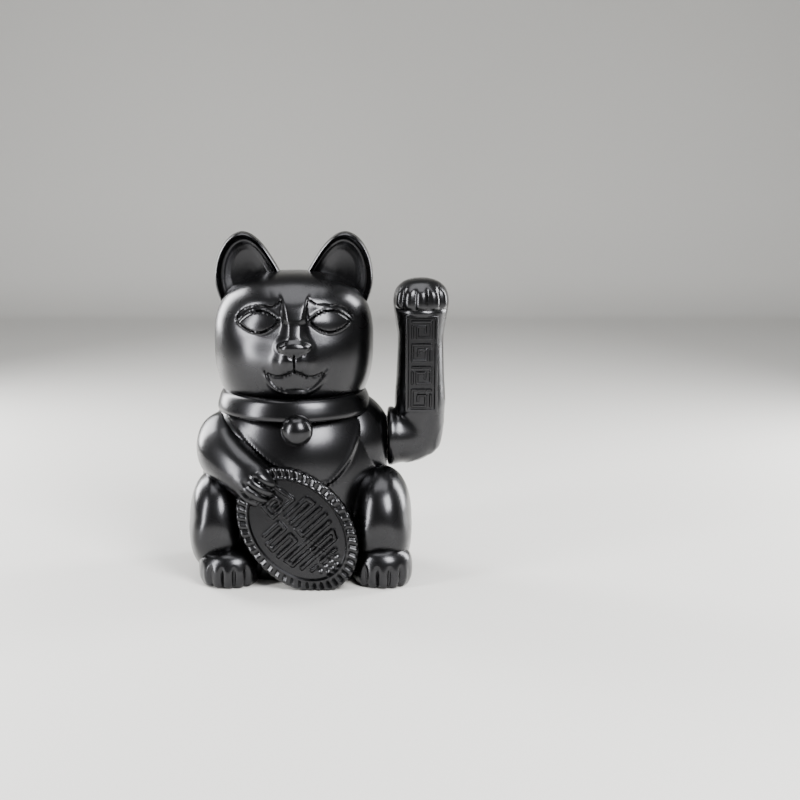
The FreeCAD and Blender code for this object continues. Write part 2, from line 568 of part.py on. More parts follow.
case_z = (plate_top, f"{plate_top} + switch_high")
switch_body = box("switch_body", "switch_x - switch_long / 2", "switch_x + switch_long / 2",
                  "switch_y - switch_wide / 2", "switch_y + switch_wide / 2", *case_z)
switch_ears = box("switch_ears", "switch_x - switch_long / 2 - 5", "switch_x + switch_long / 2 + 5",
                  "switch_y - switch_wide / 2", "switch_y + switch_wide / 2", plate_top, f"{plate_top} + 1.2")
switch_room = box("switch_room", "switch_x - (slider_long + knob_travel) / 2 - 0.1", "switch_x + (slider_long + knob_travel) / 2 + 0.1",
                  "switch_y - switch_wide / 2 + switch_skin", "switch_y + switch_wide / 2 - switch_skin",
                  f"{plate_top} - 1", f"{plate_top} + slider_high + 0.2")
switch_holes = [rod(f"switch_hole_{k}", "1.05", "0", f"{plate_top} + 3", x=f"switch_x {sign} (switch_long / 2 + 2.5)", y="switch_y")
                for k, sign in enumerate("-+")]
switch_tabs = [box(f"switch_tab_{k}", f"switch_x {shift} - 1", f"switch_x {shift} + 1", "switch_y - 0.3", "switch_y + 0.3",
                   f"{plate_top} + switch_high - 1", f"{plate_top} + switch_high + 3") for k, shift in enumerate(("- 4", "+ 0", "+ 4"))]
node("switch_case", cut("switch_case_shape", fuse("switch_case_body", switch_body, switch_ears, *switch_tabs),
                        switch_room, *switch_holes))
slide_x = "(switch_x - knob_travel / 2)"
slider_block = box("slider_block", f"{slide_x} - slider_long / 2", f"{slide_x} + slider_long / 2",
                   "switch_y - switch_wide / 2 + switch_skin + 0.05", "switch_y + switch_wide / 2 - switch_skin - 0.05",
                   f"{plate_top} + 0.1", f"{plate_top} + slider_high")
slider_knob = box("slider_knob", f"{slide_x} - knob_long / 2", f"{slide_x} + knob_long / 2",
                  "switch_y - knob_wide / 2", "switch_y + knob_wide / 2", "rim_z - knob_out", f"{plate_top} + 1")
slider_ribs = [box(f"slider_rib_{k}", f"{slide_x} {shift} - 0.25", f"{slide_x} {shift} + 0.25", "switch_y - 2", "switch_y + 2",
                   "rim_z - knob_out - 0.1", "rim_z - knob_out + 0.35") for k, shift in enumerate(("- 1.4", "+ 0", "+ 1.4"))]
node("switch_slider", cut("switch_slider_shape", fuse("switch_slider_body", slider_block, slider_knob), *slider_ribs))

# ---- drive frame ----

frame_z = "(frame_low + flange_thick)"
wall_top = "(axle_z - stop_drop + frame_bar_r + 4)"
drive = new_body("drive_frame")
frame_profile = new_sketch(drive, "frame_base", "XY_Plane", "frame_low")
draw_rectangle(frame_profile, "frame_in", "frame_out + frame_wall", "-frame_half_y", "frame_half_y")
pad(drive, frame_profile, "flange_thick")
for side, start in (("inner", "frame_in"), ("outer", "frame_out")):
    wall_sketch = new_sketch(drive, f"frame_{side}", "YZ_Plane", start)
    draw_polygon(wall_sketch, [("-frame_half_y", "frame_low"), ("frame_half_y", "frame_low"), ("frame_half_y", wall_top),
                               ("frame_top_r", "axle_z + 4"), ("frame_top_r / 2", "axle_z + frame_top_r"),
                               ("-frame_top_r / 2", "axle_z + frame_top_r"), ("-frame_top_r", "axle_z + 4"),
                               ("-frame_half_y", wall_top)])
    pad(drive, wall_sketch, "frame_wall")
    bore_sketch = new_sketch(drive, f"frame_{side}_bore", "YZ_Plane", start)
    draw_circle(bore_sketch, "bush_r", "0", "axle_z")
    pocket(drive, bore_sketch, "frame_wall", reverse=True)
bar_sketch = new_sketch(drive, "frame_bars", "YZ_Plane", "frame_in")
for sign in ("", "-"):
    draw_circle(bar_sketch, "frame_bar_r", f"{sign}stop_y", "axle_z - stop_drop")
pad(drive, bar_sketch, "frame_out + frame_wall - frame_in")
board_spots = [(x, y) for x in ("board_hole_in", "board_hole_out") for y in ("-board_hole_y", "board_hole_y")]
board_z = "(axle_z - lever_long - cup_thick - magnet_thick + cup_depth - air_gap - coil_high - 2 * bobbin_flange)"
post_sketch = new_sketch(drive, "frame_posts", "XY_Plane", "frame_low")
for x, y in board_spots:
    draw_circle(post_sketch, "board_post_r", x, y)
pad(drive, post_sketch, f"{board_z} - board_thick - frame_low")
hole_sketch = new_sketch(drive, "frame_holes", "XY_Plane", "frame_low")
for x, y in frame_spots:
    draw_circle(hole_sketch, "screw_r + 0.1", x, y)
pocket(drive, hole_sketch, "flange_thick", reverse=True)
peg_sketch = new_sketch(drive, "frame_post_holes", "XY_Plane", f"{board_z} - board_thick")
for x, y in board_spots:
    draw_circle(peg_sketch, "board_screw_r", x, y)
pocket(drive, peg_sketch, "5")
node("drive_frame", drive)

node("frame_screws", group("frame_screw_set", *[
    screw(f"frame_screw_{k}", "7", x=x, y=y, z=frame_z) for k, (x, y) in enumerate(frame_spots)]))
for side, start, inward in (("inner", "frame_in", True), ("outer", "frame_out", False)):
    flange = (f"{start} - bush_flange", start) if inward else (f"{start} + frame_wall", f"{start} + frame_wall + bush_flange")
    body = fuse(f"bushing_{side}_body", rod(f"bushing_{side}_tube", "bush_r", start, f"{start} + frame_wall", "x", z="axle_z"),
                rod(f"bushing_{side}_flange", "bush_flange_r", *flange, "x", z="axle_z"))
    node(f"bushing_{side}", cut(f"bushing_{side}_shape", body,
                                rod(f"bushing_{side}_bore", "axle_r + run_gap", f"{start} - 10", f"{start} + 20", "x", z="axle_z")))
for name, sign in (("front", "-"), ("rear", "")):
    place = dict(y=f"{sign}stop_y", z="axle_z - stop_drop")
    sleeve = ("lever_x - 7", "lever_x + 7")
    node(f"stop_sleeve_{name}", cut(f"stop_sleeve_{name}_shape", rod(f"stop_sleeve_{name}_tube", "stop_r", *sleeve, "x", **place),
                                    rod(f"stop_sleeve_{name}_bore", "frame_bar_r", "lever_x - 8", "lever_x + 8", "x", **place)))

# ---- board and coil ----

board = box("board_plate", "board_start", "board_end", "-board_half_y", "board_half_y", f"{board_z} - board_thick", board_z)
board_holes = [rod(f"board_hole_{k}", "board_screw_r + 0.1", f"{board_z} - 3", f"{board_z} + 1", x=x, y=y)
               for k, (x, y) in enumerate(board_spots)]
node("circuit_board", cut("circuit_board_shape", board, *board_holes))
node("board_screws", group("board_screw_set", *[
    screw(f"board_screw_{k}", "5", "1", "board_screw_r - 0.05", "1.9", x=x, y=y, z=board_z)
    for k, (x, y) in enumerate(board_spots)]))
coil_place = dict(x="lever_x", y="0")
coil_low, coil_top = f"({board_z} + bobbin_flange)", f"({board_z} + bobbin_flange + coil_high)"
bobbin = fuse("bobbin_body", rod("bobbin_low", "bobbin_r", board_z, coil_low, **coil_place),
              rod("bobbin_core", "coil_core_r", board_z, f"{coil_top} + bobbin_flange", **coil_place),
              rod("bobbin_high", "bobbin_r", coil_top, f"{coil_top} + bobbin_flange", **coil_place))
node("coil_bobbin", cut("coil_bobbin_shape", bobbin, rod("bobbin_bore", "coil_bore_r", f"{board_z} - 1", f"{coil_top} + 9", **coil_place)))
node("drive_coil", cut("drive_coil_shape", rod("coil_winding", "coil_r", coil_low, coil_top, **coil_place),
                       rod("coil_opening", "coil_core_r", f"{coil_low} - 1", f"{coil_top} + 1", **coil_place)))
node("driver_chip", box("driver_chip_shape", "chip_x - chip_long / 2", "chip_x + chip_long / 2", "-chip_wide / 2", "chip_wide / 2",
                        board_z, f"{board_z} + chip_high"))
node("capacitor", rod("capacitor_can", "capacitor_r", board_z, f"{board_z} + capacitor_high", x="capacitor_x", y="0"))


def lead(label, points):
    """A wire through points."""
    curve = Part.BSplineCurve()
    curve.interpolate([Vector(*point) for point in points])
    path = Part.Wire([curve.toShape()])
    start, tangent = curve.value(curve.FirstParameter), curve.tangent(curve.FirstParameter)[0]
    section = Part.Wire(Part.makeCircle(size("lead_r"), start, tangent))
    return node(label, feature(f"{label}_wire", path.makePipeShell([section], True, False)))


board_top = (size("axle_z") - size("lever_long") - size("cup_thick") - size("magnet_thick") + size("cup_depth")
             - size("air_gap") - size("coil_high") - 2 * size("bobbin_flange"))
tab_z = size("rim_z") + size("plate_thick") + size("switch_high") + 3
switch_y, roof, frame_edge = size("switch_y"), size("bay_roof"), size("frame_half_y")
lead("lead_red", [(4, switch_y, tab_z), (4, switch_y + 0.5, tab_z + 6), (8, switch_y + 8, board_top + 8),
                  (18, -frame_edge + 2, board_top + 7), (24, -11, board_top + 5), (24, -11, board_top + 0.3)])
lead("lead_black", [(-12, 26, roof + 0.4), (-10, 28, roof + 4), (2, frame_edge + 6, board_top + 7),
                    (14, frame_edge + 3, board_top + 8), (24, 11, board_top + 5), (24, 11, board_top + 0.3)])
lead("lead_battery", [(-8, -24, roof), (-8, -27, roof + 3), (-6, -35, roof), (-4, switch_y + 2, tab_z + 3), (-4, switch_y, tab_z)])

# ---- arm ----

def turned_form(profile, axis):
    """A solid turned about an axis from points of (radius, along)."""
    curve = Part.BSplineCurve()
    curve.interpolate([Vector(r, 0, along) for r, along in profile])
    ends = [Vector(0, 0, profile[-1][1]), Vector(0, 0, profile[0][1])]
    edges = [curve.toShape(), Part.LineSegment(*ends).toShape()]
    if profile[0][0] > 0:
        edges.append(Part.LineSegment(ends[1], Vector(profile[0][0], 0, profile[0][1])).toShape())
    form = Part.Face(Part.Wire(edges)).revolve(Vector(), Vector(0, 0, 1), 360)
    form.Placement = axis
    return form


def arm_form(inset):
    """The forearm and paw, turned about the arm's upright axis."""
    waist, paw_r, top = size("arm_waist_r") - inset, size("arm_paw_r") - inset, size("arm_top") - inset
    low, low_r = size("axle_z") - 19 + inset, size("arm_low_r") - inset
    profile = [(0, low), (low_r * 0.34, low + 1.4), (low_r * 0.64, low + 6), (low_r * 0.86, low + 16), (low_r, low + 46),
               (waist + 1.2, 172), (waist, 203), (paw_r - 1.2, 228), (paw_r, 239), (paw_r * 0.9, top - 9.5),
               (paw_r * 0.64, top - 3.4), (paw_r * 0.32, top - 0.7), (0, top)]
    return turned_form(profile, Placement(Vector(size("arm_x"), 0, 0), Rotation()))


def elbow_form(start, inset):
    """The stub and its rounded end, turned about the axle."""
    stub_r, end = size("stub_r") - inset, size("elbow_end") - inset
    profile = [(stub_r, start), (stub_r, start + 9), (stub_r - 0.5, start + 18), (stub_r * 0.86, start + 29),
               (stub_r * 0.64, end - 5.4), (stub_r * 0.34, end - 1.3), (0, end)]
    return turned_form(profile, Placement(Vector(0, 0, size("axle_z")), Rotation(Vector(0, 1, 0), 90)))


plaque = box("plaque", "arm_x - plaque_wide / 2", "arm_x + plaque_wide / 2", "-plaque_out", "0", "plaque_low", "plaque_high")
plaque_field = box("plaque_field", "arm_x - plaque_wide / 2 + plaque_rim", "arm_x + plaque_wide / 2 - plaque_rim",
                   "-plaque_out - 1", "plaque_sunk - plaque_out", "plaque_low + plaque_rim", "plaque_high - plaque_rim")
arm_start = size("torso_wide") - size("side_inset") + size("arm_gap")
hub_start = f"({arm_face_x} + arm_wall)"
arm_outside = chain("arm_outside", feature("arm_form", arm_form(0)), feature("elbow", elbow_form(arm_start, 0)),
                    cut("plaque_shape", plaque, plaque_field))
arm_inside = chain("arm_inside", feature("arm_hollow", arm_form(size("arm_wall"))),
                   feature("elbow_hollow", elbow_form(arm_start + size("arm_wall"), size("arm_wall"))))
arm_spots = [("arm_x", "arm_top - 16"), ("arm_x", "axle_z + 37")]
arm_bosses = [rod(f"arm_boss_{k}", "arm_boss_r", "-40", "40", "y", x=x, z=z) for k, (x, z) in enumerate(arm_spots)]
arm_cavity = cut("arm_cavity", arm_inside, *arm_bosses)
stub_bore = rod("stub_bore", "axle_r + 0.3", f"{arm_face_x} - 1", f"{hub_start} + 1", "x", z="axle_z")
arm_skin = cut("arm_skin", arm_outside, arm_cavity, stub_bore)
arm_pins = [rod(f"arm_pin_{k}", "seam_pin_r", "-1", "5", "y", x=x, z=z) for k, (x, z) in enumerate(arm_spots)]
arm_sockets = [rod(f"arm_socket_{k}", "seam_pin_r + 0.05", "-1", "5.3", "y", x=x, z=z) for k, (x, z) in enumerate(arm_spots)]
node("arm_front_shell", cut("arm_front_shape", arm_skin, cut("arm_front_room", half_space("behind_arm", "0", "400"), *arm_pins)))
node("arm_rear_shell", cut("arm_rear_shape", cut("arm_rear_half", arm_skin, half_space("before_arm", "-400", "0")), *arm_sockets))

hub_body = fuse("arm_hub_body", rod("hub_flange_disc", "hub_flange_r", hub_start, f"{hub_start} + hub_flange", "x", z="axle_z"),
                rod("hub_tube", "hub_r", hub_start, f"{hub_start} + hub_long", "x", z="axle_z"))
node("arm_hub", cut("arm_hub_shape", hub_body, rod("hub_bore", "axle_r", f"{hub_start} - 1", "axle_end + 3", "x", z="axle_z")))
groove_start = "(frame_in - bush_flange - washer_thick - 0.1 - clip_thick)"
axle_body = rod("axle_rod", "axle_r", "axle_start", f"{hub_start} + hub_long", "x", z="axle_z")
groove = cut("axle_groove", rod("groove_outer", "axle_r + 1", groove_start, f"{groove_start} + clip_thick", "x", z="axle_z"),
             rod("groove_core", "axle_r - clip_groove", f"{groove_start} - 1", f"{groove_start} + clip_thick + 1", "x", z="axle_z"))
node("arm_axle", cut("arm_axle_shape", axle_body, groove))
clip_disc = rod("clip_disc", "clip_r", groove_start, f"{groove_start} + clip_thick", "x", z="axle_z")
clip_bore = rod("clip_bore", "axle_r - clip_groove", f"{groove_start} - 1", f"{groove_start} + 2", "x", z="axle_z")
clip_mouth = box("clip_mouth", f"{groove_start} - 1", f"{groove_start} + 2", "-1.6", "1.6", "axle_z", "axle_z + 10")
node("axle_clip", cut("axle_clip_shape", clip_disc, clip_bore, clip_mouth))
for side, low in (("inner", "(frame_in - bush_flange - washer_thick - 0.05)"),
                  ("outer", "(frame_out + frame_wall + bush_flange + 0.05)")):
    node(f"washer_{side}", cut(f"washer_{side}_shape", rod(f"washer_{side}_disc", "washer_r", low, f"{low} + washer_thick", "x", z="axle_z"),
                               rod(f"washer_{side}_bore", "axle_r + run_gap", f"{low} - 1", f"{low} + 3", "x", z="axle_z")))
collar_low = "(frame_out + frame_wall + bush_flange + washer_thick + 0.1)"
node("axle_collar", cut("axle_collar_shape", rod("axle_collar_disc", "washer_r", collar_low, f"{collar_low} + 4", "x", z="axle_z"),
                        rod("axle_collar_bore", "axle_r", f"{collar_low} - 1", f"{collar_low} + 5", "x", z="axle_z")))

# ---- pendulum ----

lever_low = "(axle_z - lever_long)"
lever_body = fuse("lever_body", rod("lever_hub", "lever_hub_r", "lever_x - lever_hub_long / 2", "lever_x + lever_hub_long / 2", "x", z="axle_z"),
                  box("lever_bar", "lever_x - lever_thick / 2", "lever_x + lever_thick / 2", "-lever_wide / 2", "lever_wide / 2", lever_low, "axle_z"),
                  rod("lever_foot", "cup_r", f"{lever_low} - cup_thick", lever_low, x="lever_x", y="0"))
lever_screw_hole = rod("lever_screw_hole", "lever_screw_r", "axle_z + axle_r", "axle_z + lever_hub_r + 1", x="lever_x", y="0")
magnet_low = "(axle_z - lever_long - cup_thick - magnet_thick + cup_depth)"
node("pendulum_lever", cut("pendulum_lever_shape", lever_body,
                           rod("lever_bore", "axle_r", "lever_x - 10", "lever_x + 10", "x", z="axle_z"), lever_screw_hole,
                           rod("magnet_seat", "magnet_r", f"{lever_low} - cup_thick - 1", f"{lever_low} - cup_thick + cup_depth", x="lever_x", y="0")))
node("pendulum_magnet", rod("magnet_disc", "magnet_r", magnet_low, f"{magnet_low} + magnet_thick", x="lever_x", y="0"))
weight_block = box("weight_block", "lever_x - weight_x / 2", "lever_x + weight_x / 2", "weight_shift - weight_y / 2", "weight_shift + weight_y / 2",
                   "axle_z - weight_drop - weight_high / 2", "axle_z - weight_drop + weight_high / 2")
weight_slot = box("weight_slot", "lever_x - lever_thick / 2", "lever_x + lever_thick / 2", "-lever_wide / 2", "lever_wide / 2",
                  lever_low, "axle_z")
node("counterweight", cut("counterweight_shape", weight_block, weight_slot))
node("lever_screw", rod("lever_grub", "lever_screw_r", "axle_z + axle_r", "axle_z + lever_hub_r - 0.5", x="lever_x", y="0"))

# ---- check and write ----

doc.recompute()
for obj in doc.Objects:
    if "Invalid" in obj.State:
        raise RuntimeError(f"{obj.Name} did not compute")
for obj in parts:
    if obj.Shape.isNull() or not obj.Shape.isValid() or len(obj.Shape.Solids) < 1:
        raise RuntimeError(f"{obj.Label} is not a valid solid")
    box_of = obj.Shape.optimalBoundingBox()
    print(f"{obj.Label}: {len(obj.Shape.Solids)} solid, {obj.Shape.Volume / 1000:.2f} cm3, "
          f"x {box_of.XMin:.1f} {box_of.XMax:.1f} y {box_of.YMin:.1f} {box_of.YMax:.1f} z {box_of.ZMin:.1f} {box_of.ZMax:.1f}")
os.makedirs("parts", exist_ok=True)
for obj in parts:
    obj.Shape.exportStep(f"parts/{obj.Label}.step")
print(f"{len(parts)} sub-parts written")
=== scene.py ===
import json
import math

import bpy
import numpy as np
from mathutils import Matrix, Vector


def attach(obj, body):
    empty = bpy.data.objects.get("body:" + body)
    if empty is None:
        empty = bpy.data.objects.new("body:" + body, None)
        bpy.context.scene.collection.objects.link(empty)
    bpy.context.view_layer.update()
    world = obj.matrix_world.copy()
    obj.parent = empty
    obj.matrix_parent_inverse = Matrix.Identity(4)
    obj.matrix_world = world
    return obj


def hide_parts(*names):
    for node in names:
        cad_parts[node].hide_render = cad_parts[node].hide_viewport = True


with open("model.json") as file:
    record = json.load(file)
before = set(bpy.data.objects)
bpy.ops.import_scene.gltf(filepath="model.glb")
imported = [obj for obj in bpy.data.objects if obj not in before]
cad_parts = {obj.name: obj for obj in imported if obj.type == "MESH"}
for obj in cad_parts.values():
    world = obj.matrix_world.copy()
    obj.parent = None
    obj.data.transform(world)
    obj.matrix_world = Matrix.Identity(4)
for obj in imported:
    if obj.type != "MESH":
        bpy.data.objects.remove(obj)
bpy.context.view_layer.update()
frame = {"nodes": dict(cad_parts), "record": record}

# Sizes are in millimetres from the head's axis, as a modeller would measure the cat; placeInFrame
# moves a finished piece to the frame and to metres.
place = {"shiftX": -22.2, "shiftY": 3.3, "seamY": 0.0}


def selectOnly(*objs):
    if bpy.context.object and bpy.context.object.mode != "OBJECT":
        bpy.ops.object.mode_set(mode="OBJECT")
    bpy.ops.object.select_all(action="DESELECT")
    for obj in objs:
        obj.select_set(True)
        bpy.context.view_layer.objects.active = obj


def readPoints(obj):
    flat = np.empty(len(obj.data.vertices) * 3, np.float32)
    obj.data.vertices.foreach_get("co", flat)
    return flat.reshape(-1, 3).astype(np.float64)


def writePoints(obj, points):
    obj.data.vertices.foreach_set("co", points.astype(np.float32).ravel())
    obj.data.update()
    return obj


def addBall(name, around, rows):
    # a unit ball with its poles on Z; every rounded piece starts from one
    selectOnly()
    bpy.ops.mesh.primitive_uv_sphere_add(segments=around, ring_count=rows, radius=1)
    bpy.context.object.name = name
    return bpy.context.object


def addBlock(name, low, high):
    selectOnly()
    middle = [(a + b) / 2 for a, b in zip(low, high)]
    bpy.ops.mesh.primitive_cube_add(size=1, location=middle, scale=[b - a for a, b in zip(low, high)])
    obj = bpy.context.object
    obj.name = name
    bpy.ops.object.transform_apply(location=True, rotation=True, scale=True)
    return obj


def faceOutwards(obj):
    selectOnly(obj)
    bpy.ops.object.mode_set(mode="EDIT")
    bpy.ops.mesh.select_all(action="SELECT")
    bpy.ops.mesh.remove_doubles(threshold=0.0005)
    bpy.ops.mesh.normals_make_consistent(inside=False)
    bpy.ops.object.mode_set(mode="OBJECT")
    return obj


def combine(obj, tool, how):
    selectOnly(obj)
    step = obj.modifiers.new("combine", "BOOLEAN")
    step.operation, step.solver, step.object = how, "MANIFOLD", tool
    bpy.ops.object.modifier_apply(modifier=step.name)
    bpy.data.objects.remove(tool, do_unlink=True)
    if not len(obj.data.polygons):
        raise RuntimeError("nothing left of " + obj.name)
    return obj


def copyOf(obj, name):
    twin = obj.copy()
    twin.data = obj.data.copy()
    twin.name = name
    bpy.context.scene.collection.objects.link(twin)
    return twin


def smoothStep(low, high, value):
    t = np.clip((value - low) / (high - low), 0, 1)
    return t * t * (3 - 2 * t)


def hill(x, z, centre, reach):
    return np.exp(-((x - centre[0]) / reach[0]) ** 2 - ((z - centre[1]) / reach[1]) ** 2)


def lineDistance(x, z, points):
    nearest = np.full(x.shape, 1e9)
    for (ax, az), (bx, bz) in zip(points, points[1:]):
        length = max((bx - ax) ** 2 + (bz - az) ** 2, 1e-9)
        t = np.clip(((x - ax) * (bx - ax) + (z - az) * (bz - az)) / length, 0, 1)
        nearest = np.minimum(nearest, np.hypot(x - ax - t * (bx - ax), z - az - t * (bz - az)))
    return nearest


def insideDistance(x, z, corners):
    # distance to a closed outline, positive inside it
    ring = corners + corners[:1]
    inside = np.zeros(x.shape, bool)
    for (ax, az), (bx, bz) in zip(ring, ring[1:]):
        if az != bz:
            inside ^= ((az > z) != (bz > z)) & (x < (bx - ax) * (z - az) / (bz - az) + ax)
    return np.where(inside, 1, -1) * lineDistance(x, z, ring)


def softCurve(points, steps=6, closed=False):
    # a smooth line through points
    pts = np.array(points, float)
    count = len(pts)
    out = []
    for k in range(count if closed else count - 1):
        if closed:
            a, b, c, d = (pts[(k + j) % count] for j in (-1, 0, 1, 2))
        else:
            a, b, c, d = pts[max(k - 1, 0)], pts[k], pts[k + 1], pts[min(k + 2, count - 1)]
        for step in range(steps):
            t = step / steps
            out.append(tuple(0.5 * (2 * b + (c - a) * t + (2 * a - 5 * b + 4 * c - d) * t ** 2
                                    + (3 * b - a - 3 * c + d) * t ** 3)))
    if not closed:
        out.append(tuple(pts[-1]))
    return out


def squarish(c, s, power):
    # pulls a unit circle out towards a rounded square
    stretch = (np.abs(c) ** power + np.abs(s) ** power) ** (-1 / power)
    return c * stretch, s * stretch


def ovalPoints(unit, form, inset=0.0):
    # the head and the body: an upright rounded oval, denser towards the front when form asks for it
    ring = np.hypot(unit[:, 0], unit[:, 1])
    angle = np.arctan2(unit[:, 0], -unit[:, 1])
    angle = angle - form.get("frontDensity", 0) * np.sin(angle)
    rise = np.arctan2(unit[:, 2], ring)
    rise = rise - form.get("rowDensity", 0) * np.sin(2 * rise) / 2
    r, rise = squarish(np.cos(rise), np.sin(rise), form["squareness"])
    up, down = form["up"] - inset, form["down"] - inset
    return np.stack([(form["halfWide"] - inset) * r * np.sin(angle),
                     form["y"] - (form["halfDeep"] - inset) * r * np.cos(angle),
                     form["z"] + rise * np.where(rise > 0, up, down)], 1)


def pillowPoints(unit, form):
    # a rounded disc whose axis is X or Z
    axis = "xz".index(form["axis"])
    along = unit[:, 2]
    ring = np.hypot(unit[:, 0], unit[:, 1])
    turn = np.arctan2(unit[:, 1], unit[:, 0])
    below = smoothStep(0.3, -0.4, np.sin(turn)) * form.get("fuller", 0)
    r, a = squarish(ring, along, form["power"] + below)
    r, a = r * form["radius"], a * form["half"]
    cx, cy, cz = form["centre"]
    if axis == 0:
        return np.stack([cx + a, cy + r * np.cos(turn), cz + r * np.sin(turn)], 1)
    return np.stack([cx + r * np.cos(turn), cy + r * np.sin(turn), cz + a], 1)


faceForm = {
    "around": 336, "rows": 158, "squareness": 2.65, "frontDensity": 0.52, "rowDensity": 0.34,
    "halfWide": 69.5, "halfDeep": 59, "up": 59.5, "down": 72, "y": -1, "z": 205,
    "eyes": [(-28.6, 227.2, 0.09), (31.9, 227.4, -0.07)], "eyeHalfLong": 17.2, "eyeHalfHigh": 8.6,
    # heights that each feature adds to the face, or that a groove takes away
    "socketDeep": 4.2, "eyeBulge": 5.2, "lidRim": 1.7, "lidGroove": 1.0, "foldLift": 1.7, "foldGroove": 0.9,
    "bridgeLift": 4.4, "noseLift": 4.6, "padLift": 2.2, "padGroove": 0.5, "nostrilDeep": 1.6,
    "muzzleLift": 6.8, "whiskerLift": 3.3, "cheekLift": 2.4, "philtrumDeep": 1.7,
    "mouthDeep": 2.0, "upperLipLine": 1.1, "lowerLipLine": 0.9, "lipRoll": 1.2, "chinLift": 2.2,
    "lidFoldLeft": [(-48.5, 226), (-45.5, 233), (-38, 238.4), (-27, 240.4), (-16, 240.2), (-8.8, 244.4),
                    (-8.6, 230)],
    "lidFoldRight": [(51.6, 226), (49.4, 233.2), (42, 238.8), (31, 240.9), (21, 241.6), (13.2, 245.4),
                     (12.6, 230.6)],
    "noseOutline": [(2, 213.4), (10, 211.6), (16, 208.2), (13.2, 204), (7, 201.4), (2, 198.8),
                    (-3.2, 201.4), (-9.4, 203.8), (-12.2, 208), (-6.2, 211.6)],
    "philtrum": [(2, 200.5), (2, 186.4)],
    "upperLip": [(-23.4, 187.2), (-19.8, 184.2), (-14, 182.2), (-8, 182.4), (-2.4, 184.6), (2, 187),
                 (6.4, 184.6), (12.4, 182), (18.6, 182), (24.8, 184.6), (29, 188)],
    "lowerLip": [(-21.5, 183.6), (-18, 177.4), (-12.8, 172.8), (-6, 170.4), (2, 169.7), (10, 170.4),
                 (17, 173), (22.6, 178), (27, 184)],
}


def faceRelief(x, z):
    # how far the face stands out of the plain oval, in millimetres
    f = faceForm
    lift = np.zeros(x.shape)
    # eyes: a socket, the ball in it, and the lids' rim and groove along its almond outline
    for cx, cz, tilt in f["eyes"]:
        u = (x - cx) * math.cos(tilt) + (z - cz) * math.sin(tilt)
        v = -(x - cx) * math.sin(tilt) + (z - cz) * math.cos(tilt)
        lift -= f["socketDeep"] * np.exp(-(np.abs(u) / 23) ** 3 - (np.abs(v + 0.5) / 14) ** 3)
        a, b = f["eyeHalfLong"], f["eyeHalfHigh"]
        edge = np.abs(v) - b * np.clip(1 - (u / a) ** 2, -0.5, 1)
        near = np.exp(-(np.clip(np.abs(u) - a, 0, 9) / 1.6) ** 2)
        dome = np.sqrt(np.clip(1 - (u / (a * 1.12)) ** 2 - (v / (b * 1.22)) ** 2, 0, 1))
        lift += np.where(edge < 0, f["eyeBulge"] * dome, 0) * smoothStep(0.3, -0.9, edge)
        lift += f["lidRim"] * np.exp(-((edge - 1.5) / 1.15) ** 2) * near
        lift -= f["lidGroove"] * np.exp(-(edge / 0.65) ** 2) * near
    # the fold above each eye, which ends in a point beside the bridge
    for key in ("lidFoldLeft", "lidFoldRight"):
        fold = softCurve(f[key])
        outline = fold + [(fold[-1][0], 226), (fold[0][0], 226)]
        above = -insideDistance(x, z, outline)
        reach = lineDistance(x, z, fold)
        upper = smoothStep(224.5, 230.5, z)
        lift += f["foldLift"] * smoothStep(-0.7, 0.9, above) * np.exp(-(reach / 10) ** 2) * upper
        crease = np.exp(-((above + 0.7) / 0.8) ** 2) * np.exp(-(reach / 1.8) ** 2)
        lift -= f["foldGroove"] * crease * upper
    # the bridge, its half width and the softness of its sides down its length
    wide = np.interp(z, [198, 205, 209, 216, 226, 240, 252], [11, 13.5, 12.6, 8.6, 7.6, 9.8, 12])
    soft = np.interp(z, [200, 214, 228, 244], [6, 6, 3.6, 2.6])
    bridge = 1 - smoothStep(wide - soft, wide + soft, np.abs(x - 2.2))
    lift += f["bridgeLift"] * bridge * smoothStep(256, 236, z) * smoothStep(198, 209, z)
    lift += f["noseLift"] * np.exp(-((x - 2) / 17) ** 2) * np.exp(-((z - 207) / 14) ** 2)
    pad = insideDistance(x, z, softCurve(f["noseOutline"], closed=True))
    lift += f["padLift"] * smoothStep(-0.9, 2.6, pad) - f["padGroove"] * np.exp(-((pad + 0.9) / 0.9) ** 2)
    lift -= f["nostrilDeep"] * smoothStep(207.5, 201, z) * smoothStep(0, 1.5, pad)
    # muzzle, whisker pads and cheeks
    lift += f["muzzleLift"] * np.exp(-(np.abs(x - 2) / 27) ** 2.4 - (np.abs(z - 188) / 19) ** 2.4)
    for cx, cz in ((-6.6, 194.4), (10.6, 194.4)):
        lift += f["whiskerLift"] * np.exp(-(np.hypot(x - cx, (z - cz) * 0.92) / 8) ** 3)
    for cx in (-41, 45):
        lift += f["cheekLift"] * hill(x, z, (cx, 196), (20, 22))
    lift -= f["philtrumDeep"] * np.exp(-(lineDistance(x, z, f["philtrum"]) / 0.85) ** 2)
    upper, lower = softCurve(f["upperLip"]), softCurve(f["lowerLip"])
    mouth = insideDistance(x, z, upper[6:-6] + lower[::-1])
    fromUpper = lineDistance(x, z, upper)
    lift -= f["mouthDeep"] * smoothStep(-0.8, 1.0, mouth) * np.exp(-np.clip(fromUpper, 0, 20) / 8)
    lift -= f["upperLipLine"] * np.exp(-(fromUpper / 1.2) ** 2)
    lift -= f["lowerLipLine"] * np.exp(-(lineDistance(x, z, lower) / 0.8) ** 2)
    lift += f["lipRoll"] * np.exp(-((mouth + 2.6) / 1.9) ** 2) * smoothStep(184, 179, z)
    lift += f["chinLift"] * np.exp(-(np.abs(x - 2) / 16) ** 2 - (np.abs(z - 164) / 9) ** 2)
    return lift


